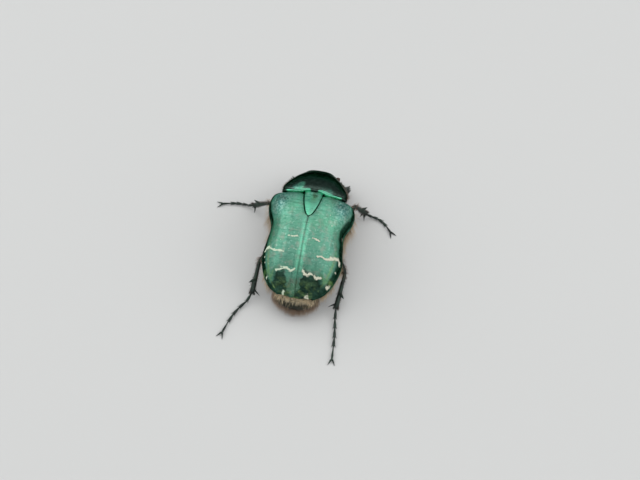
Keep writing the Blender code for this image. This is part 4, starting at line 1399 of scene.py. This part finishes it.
# %% Feet
def foot_places(name):
    """The ends of the foot's joints, on the smooth curve from the ankle through the foot's points."""
    _, _, ankle, points = LEGS[name]
    route = np.array([ankle, *points], float)
    run = np.concatenate([[0], np.cumsum(np.linalg.norm(np.diff(route, axis=0), axis=1))])
    knots = np.column_stack([run / run[-1], route])
    stops = np.array(FOOT_STOPS)
    return np.stack([curve(knots, stops, column) for column in (1, 2, 3)], axis=-1)


def make_foot(name):
    """Five joints that each widen to their end and bear small spines there, then two curved claws."""
    places = foot_places(name)
    places[1:, 2] = np.maximum(places[1:, 2], FOOT_THICKNESS / 2 + 0.01)
    shapes = []
    for i, (start, end) in enumerate(zip(places, places[1:])):
        way = unit(end - start)
        side = unit(np.cross(way, UPRIGHT))
        is_last = i == len(places) - 2
        thick = FOOT_THICKNESS * (0.72 if is_last else 1.0)
        size = [(0, thick * 0.55), (0.25, thick * 0.62), (0.75, thick), (1, thick * 0.85)]
        shapes.append(rod(rod_skin(start - way * 0.06, end + way * 0.08, side, size, size, 0.4), 22, 16))
        for turn in () if is_last else (-1, 0, 1):
            root = end - way * 0.10 + side * turn * thick * 0.4 - UPRIGHT * (0.08 if turn == 0 else 0.02)
            tip = root + way * 0.24 + side * turn * 0.10
            tip[2] = max(tip[2], 0.03)
            shapes.append(spine(root, tip, 0.035, (0, 0, 0), 4, 6))
    last = unit(places[-1] - places[-2])
    spread = unit(np.cross(last, UPRIGHT))
    for turn in (1, -1):
        root = places[-1] - last * 0.06 + spread * turn * 0.06
        tip = root + unit(last + spread * turn * 0.6) * 0.62
        tip[2] = CLAW_HEIGHT
        shapes.append(spine(root, tip, 0.10, last * 0.10, 10, 12))
    return keep(mesh_piece(f"foot_{name}", together(shapes)), leg_black, "underside", f"tarsus_{name}")


print("joints of a foot:", len(FOOT_STOPS) - 1)

# %% All six legs
for name in LEGS:
    make_thigh(name)
    make_shin(name)
    make_foot(name)

# %% [markdown]
# ## Hair, in tufts of solid mesh
# Hairs fringe the sides of the body, the last plate and the legs. Particle hair would be lost when the
# model is exported, so each tuft is a tapered strand of three sides that bends over. All strands of a piece
# are computed together: roots and directions are arrays, and the strands' rings are one big array too. Each
# strand also gets a small patch of its own in a UV map, at its root's place on the skin's flattened shape,
# so that a texture made from the material keeps each strand's colour.

# %% Tuft helper
RING = np.array([0.0, 2.0944, 4.1888])
STATIONS = np.array([0.0, 0.35, 0.7])
STRAND_POINTS = len(STATIONS) * len(RING) + 1
FLOOR_CLEARANCE = 0.02
PATCH = 0.0015
BORDER = 0.05


def unwrap(s, angle):
    """A root's place on the skin's flattened shape: s and the angle, each squeezed to leave a border free."""
    inner = 1 - 2 * BORDER
    return np.stack([BORDER + inner * s, (angle / (2 * math.pi)) % 1 * inner + BORDER], axis=-1)


def tufts(name, roots, ways, lie, length, thick, bend, flat, seed, material, slot):
    """Strands from roots. A strand's middle is its root plus its way times its length, bent over to the lie.

    length holds a number for each strand, and flat each root's place on the unwrap.
    """
    rng = np.random.default_rng(seed)
    count = len(roots)
    length = length[:, None, None]
    ways, lie = unit(ways)[:, None, :], unit(lie)[:, None, :]
    t = np.append(STATIONS, 1.0)[None, :, None]
    middle = roots[:, None, :] + length * (ways * t + lie * bend * t * t)
    side = unit(np.cross(ways, lie + (0.011, 0.017, 0.013)))
    up = unit(np.cross(ways, side))
    turn = RING + rng.uniform(0, 2 * math.pi, (count, 1))
    ring = np.cos(turn)[:, None, :, None] * side[:, :, None] + np.sin(turn)[:, None, :, None] * up[:, :, None]
    size = thick * (1 - STATIONS[None, :, None] * 0.8)
    rings = middle[:, :3, None, :] + size[..., None] * ring
    points = np.concatenate([rings.reshape(count, 9, 3), middle[:, 3:, :]], axis=1)
    points[..., 2] = np.maximum(points[..., 2], FLOOR_CLEARANCE)
    first = (np.arange(count) * STRAND_POINTS)[:, None, None]
    walls = weave(3, 3, True)[None] + first
    tips = np.array([[6, 7, 9], [7, 8, 9], [8, 6, 9], [2, 1, 0]])[None] + first
    shape = (points.reshape(-1, 3), walls.reshape(-1, 4), tips.reshape(-1, 3))
    along_strand = np.append(np.repeat(STATIONS, 3), 1.0)
    tone = np.repeat(rng.uniform(0, 1, count), STRAND_POINTS)
    made = mesh_piece(name, shape, reach=np.tile(along_strand, count), tone=tone)
    across_patch = np.append(np.tile([-1, 0, 1], 3), 0)
    up_patch = np.append(np.repeat(STATIONS, 3) * 2 - 1, 1)
    spots = (flat[:, None, :] + np.stack([across_patch, up_patch], axis=-1) * PATCH).reshape(-1, 2)
    corners = np.empty(len(made.data.loops), int)
    made.data.loops.foreach_get("vertex_index", corners)
    made.data.uv_layers.new(name="OFBake").data.foreach_set("uv", spots[corners].ravel())
    return keep(made, material, slot)


def on_skin(skin, s, angle, middle):
    """Roots on a surface, the normal that points away from the middle, and the direction in which s grows."""
    step = 1e-3
    roots = skin(s, angle)
    forward = skin(s + step, angle) - skin(s - step, angle)
    around = skin(s, angle + step) - skin(s, angle - step)
    normal = unit(np.cross(forward, around))
    outward = np.sign(np.einsum("ij,ij->i", normal, roots - middle))
    return roots, normal * outward[:, None], unit(forward)


print("a strand has", STRAND_POINTS, "points")

# %% [markdown]
# ## Hair on the trunk
# The long hairs stand on the sides of the thorax and abdomen, just under the edge of the wing cases, and
# sweep outwards and back. From above they show as a golden brown fringe beyond the green. Roots are drawn
# at random, with a fixed seed so that the beetle is the same every time.

# %% Trunk hair
def trunk_hair(name, skin, count, middle, seed, low, high, length):
    """Hair on both sides of a trunk piece, between two angles measured down from its side."""
    rng = np.random.default_rng(seed)
    s = rng.uniform(0.02, 0.98, count)
    down = rng.uniform(low, high, count)
    angle = np.where(rng.uniform(0, 1, count) < 0.5, -down, math.pi + down)
    roots, normal, back = on_skin(skin, s, angle, middle)
    way = normal + 0.55 * back + rng.normal(0, 0.22, (count, 3))
    lie = back + (0, 0.3, -0.35)
    size = length * rng.uniform(0.6, 1.15, count)
    flat = unwrap(s, angle)
    return tufts(name, roots - normal * 0.03, way, lie, size, 0.020, 0.45, flat, seed, gold_hair, "underside")


trunk_hair("thorax_hair", thorax_skin, 1700, (0, 1.0, 3.5), 11, 0.10, 1.0, 1.3)
trunk_hair("abdomen_hair", abdomen_skin, 2200, (0, 6.2, 3.2), 12, 0.12, 0.95, 0.85)
trunk_hair("belly_hair", abdomen_skin, 900, (0, 6.2, 3.2), 13, 0.9, 1.55, 0.5)

# %% [markdown]
# ## Hair of the last plate
# Short pale hairs lie over the top of the pygidium, close under the tips of the wing cases. Below them a
# band of the dark plate is bare, and from its lower half hangs a soft brown fringe, with a small brown coat
# at each side. So there are four coats on one dome. A real coat has no border: it is dense in its middle
# and thins out. That is what a bell curve does, so the roots are drawn from bell curves.

# %% Hair of the pygidium
def pygidium_hair(name, count, seed, s_range, middle, spread, length, rise, material):
    """Hair on the dome round a middle angle, lying back and down. rise says how far it stands up."""
    rng = np.random.default_rng(seed)
    s = np.clip(s_range[0] + s_range[1] * np.abs(rng.normal(0, 0.5, count)), 0.01, 0.97)
    angle = rng.normal(middle, spread, count)
    roots, normal, _ = on_skin(pygidium_skin, s, angle, (0, PYGIDIUM_Y, PYGIDIUM_Z))
    way = rise * normal + (0, 0.75, -0.35) + rng.normal(0, 0.16, (count, 3))
    lie = np.tile([0, 0.4, -0.9], (count, 1))
    size = length * rng.uniform(0.6, 1.15, count)
    flat = unwrap(s, angle)
    return tufts(name, roots - normal * 0.03, way, lie, size, 0.016, 0.4, flat, seed, material, "shell")


pygidium_hair("pygidium_hair_upper", 3000, 21, (0.02, 0.32), math.pi / 2, 0.50, 0.42, 0.22, lightened_gold_hair)
pygidium_hair("pygidium_hair_left", 260, 23, (0.02, 0.9), 0.15, 0.25, 0.5, 0.5, brown_hair)
pygidium_hair("pygidium_hair_right", 260, 24, (0.02, 0.9), math.pi - 0.15, 0.25, 0.5, 0.5, brown_hair)
pygidium_hair("pygidium_hair_fringe", 1900, 22, (0.12, 0.9), 1.5 * math.pi, 0.62, 0.65, 0.6, brown_hair)

# %% [markdown]
# ## Hair of the prothorax and head
# From the front a rose chafer looks furry: brown hair stands on the steep sides of the prothorax and below
# them, and stiff shorter hair on the sides of the head and under it. Here the angle of a root says how long
# its hair is, short on the side and longer below.

# %% Hair of the prothorax and head
def prothorax_hair(name, count, seed):
    """Short brown hair on the steep sides of the prothorax and below them."""
    rng = np.random.default_rng(seed)
    s = rng.uniform(0.02, 0.95, count)
    up = rng.uniform(-1.2, 0.25, count)
    angle = np.where(rng.uniform(0, 1, count) < 0.5, up, math.pi - up)
    roots, normal, back = on_skin(prothorax_skin, s, angle, (0, -3.5, 3.8))
    way = normal + 0.3 * back + rng.normal(0, 0.25, (count, 3))
    lie = back + (0, 0, -0.3)
    size = np.where(up > 0, 0.24, 0.50) * rng.uniform(0.6, 1.15, count)
    flat = unwrap(s, angle)
    return tufts(name, roots - normal * 0.03, way, lie, size, 0.012, 0.4, flat, seed, brown_hair, "shell")


def head_hair(name, count, seed):
    """Short stiff hair on the sides of the head, longer under it."""
    rng = np.random.default_rng(seed)
    s = rng.uniform(0.0, 0.9, count)
    angle = rng.uniform(math.pi, 2 * math.pi, count) + rng.normal(0, 0.35, count)
    roots, normal, onward = on_skin(head_skin, s, angle, head_place(0.5, 0.0, 0.0))
    way = 0.6 * normal + 0.8 * onward + rng.normal(0, 0.12, (count, 3))
    size = np.where(np.sin(angle) < 0, 0.40, 0.17) * rng.uniform(0.6, 1.15, count)
    flat = unwrap(s, angle)
    return tufts(name, roots - normal * 0.02, way, onward, size, 0.009, 0.4, flat, seed, brown_hair, "shell")


prothorax_hair("prothorax_hair", 1900, 31)
head_hair("head_hair", 1000, 32)

# %% [markdown]
# ## Hair of the legs
# The hair of a leg grows in rows along the edges of the thigh and the shin, with some shorter hairs between
# them. It is brown on the thigh and dark and stiff on the shin. The surfaces of the legs were kept as
# functions when the legs were made, so the roots lie exactly on them.

# %% Hair of the legs
def leg_hair(part, name, count, seed, length, material):
    """Hair in two rows along a thigh or shin, with some shorter hairs between them."""
    rng = np.random.default_rng(seed)
    skin = leg_skins[f"{part}_{name}"]
    share = rng.uniform(0.15, 0.95, count)
    angle = rng.choice((0.0, math.pi), count) + rng.normal(0, 0.18, count)
    loose = rng.uniform(0, 1, count) < 0.3
    angle = np.where(loose, rng.uniform(0, 2 * math.pi, count), angle)
    middle = (skin(share, angle) + skin(share, angle + math.pi)) / 2
    roots, normal, onward = on_skin(skin, share, angle, middle)
    way = normal + 0.8 * onward + rng.normal(0, 0.15, (count, 3))
    size = length * rng.uniform(0.5, 1.1, count) * np.where(loose, 0.5, 1.0)
    roots = roots - normal * 0.02
    flat = unwrap(share, angle)
    piece_name = f"{part}_hair_{name}"
    return tufts(piece_name, roots, way, onward, size, 0.016, 0.35, flat, seed, material, "underside")


for leg_number, name in enumerate(LEGS):
    leg_hair("femur", name, 280, 41 + leg_number, 0.6, brown_hair)
    leg_hair("tibia", name, 240, 61 + leg_number, 0.36, dark_hair)

# %% [markdown]
# ## Floor and light
# The floor is plain and pale. A metal looks like what it reflects, so the lights are what shapes the shell.
# One large soft box overhead, a little ahead of the beetle, gives the broad bright green on the back. A
# wall of light on each side shows along the flanks and the thorax, and a weaker box behind lights the last
# plate and the hind legs. Between them the room is pale and dim.

# %% Floor
FLOOR_HALF = 0.6
FLOOR_CORNERS = [(x * FLOOR_HALF, y * FLOOR_HALF, 0) for x, y in ((-1, -1), (1, -1), (1, 1), (-1, 1))]
floor_mesh = bpy.data.meshes.new("floor")
floor_mesh.from_pydata(FLOOR_CORNERS, [], [(0, 1, 2, 3)])
floor = bpy.data.objects.new("floor", floor_mesh)
bpy.context.scene.collection.objects.link(floor)
floor.data.materials.append(start_material("floor_grey", (0.62, 0.62, 0.61), 0.85)[0])
print("floor", 2 * FLOOR_HALF, "m wide")

# %% Lights
def soft_box(name, azimuth, elevation, distance, width, height, brightness):
    """A rectangle of even light that faces the beetle, in degrees and metres.

    The azimuth is counted from behind the beetle. The power is the brightness times the area times pi.
    """
    data = bpy.data.lights.new(name, "AREA")
    data.shape = "RECTANGLE"
    data.size = width
    data.size_y = height
    data.energy = brightness * width * height * math.pi
    made = bpy.data.objects.new(name, data)
    bpy.context.scene.collection.objects.link(made)
    way = direction(math.radians(azimuth), math.radians(elevation))
    made.location = Vector(way * distance)
    made.rotation_euler = Vector(way).to_track_quat("Z", "Y").to_euler()
    return made


soft_box("sky", 180, 80, 0.26, 0.95, 0.46, 0.87)
soft_box("window_behind", 10, 38, 0.40, 0.30, 0.22, 0.50)
for side in (1, -1):
    soft_box(f"wall_{side + 1}", side * 90, 24, 0.34, 0.50, 0.28, 0.80)
room = bpy.data.worlds.new("room")
room.use_nodes = True
room.node_tree.nodes["Background"].inputs["Color"].default_value = (0.75, 0.78, 0.80, 1)
room.node_tree.nodes["Background"].inputs["Strength"].default_value = 0.45
bpy.context.scene.world = room
bpy.context.scene.view_settings.view_transform = "Standard"
print("lights placed")
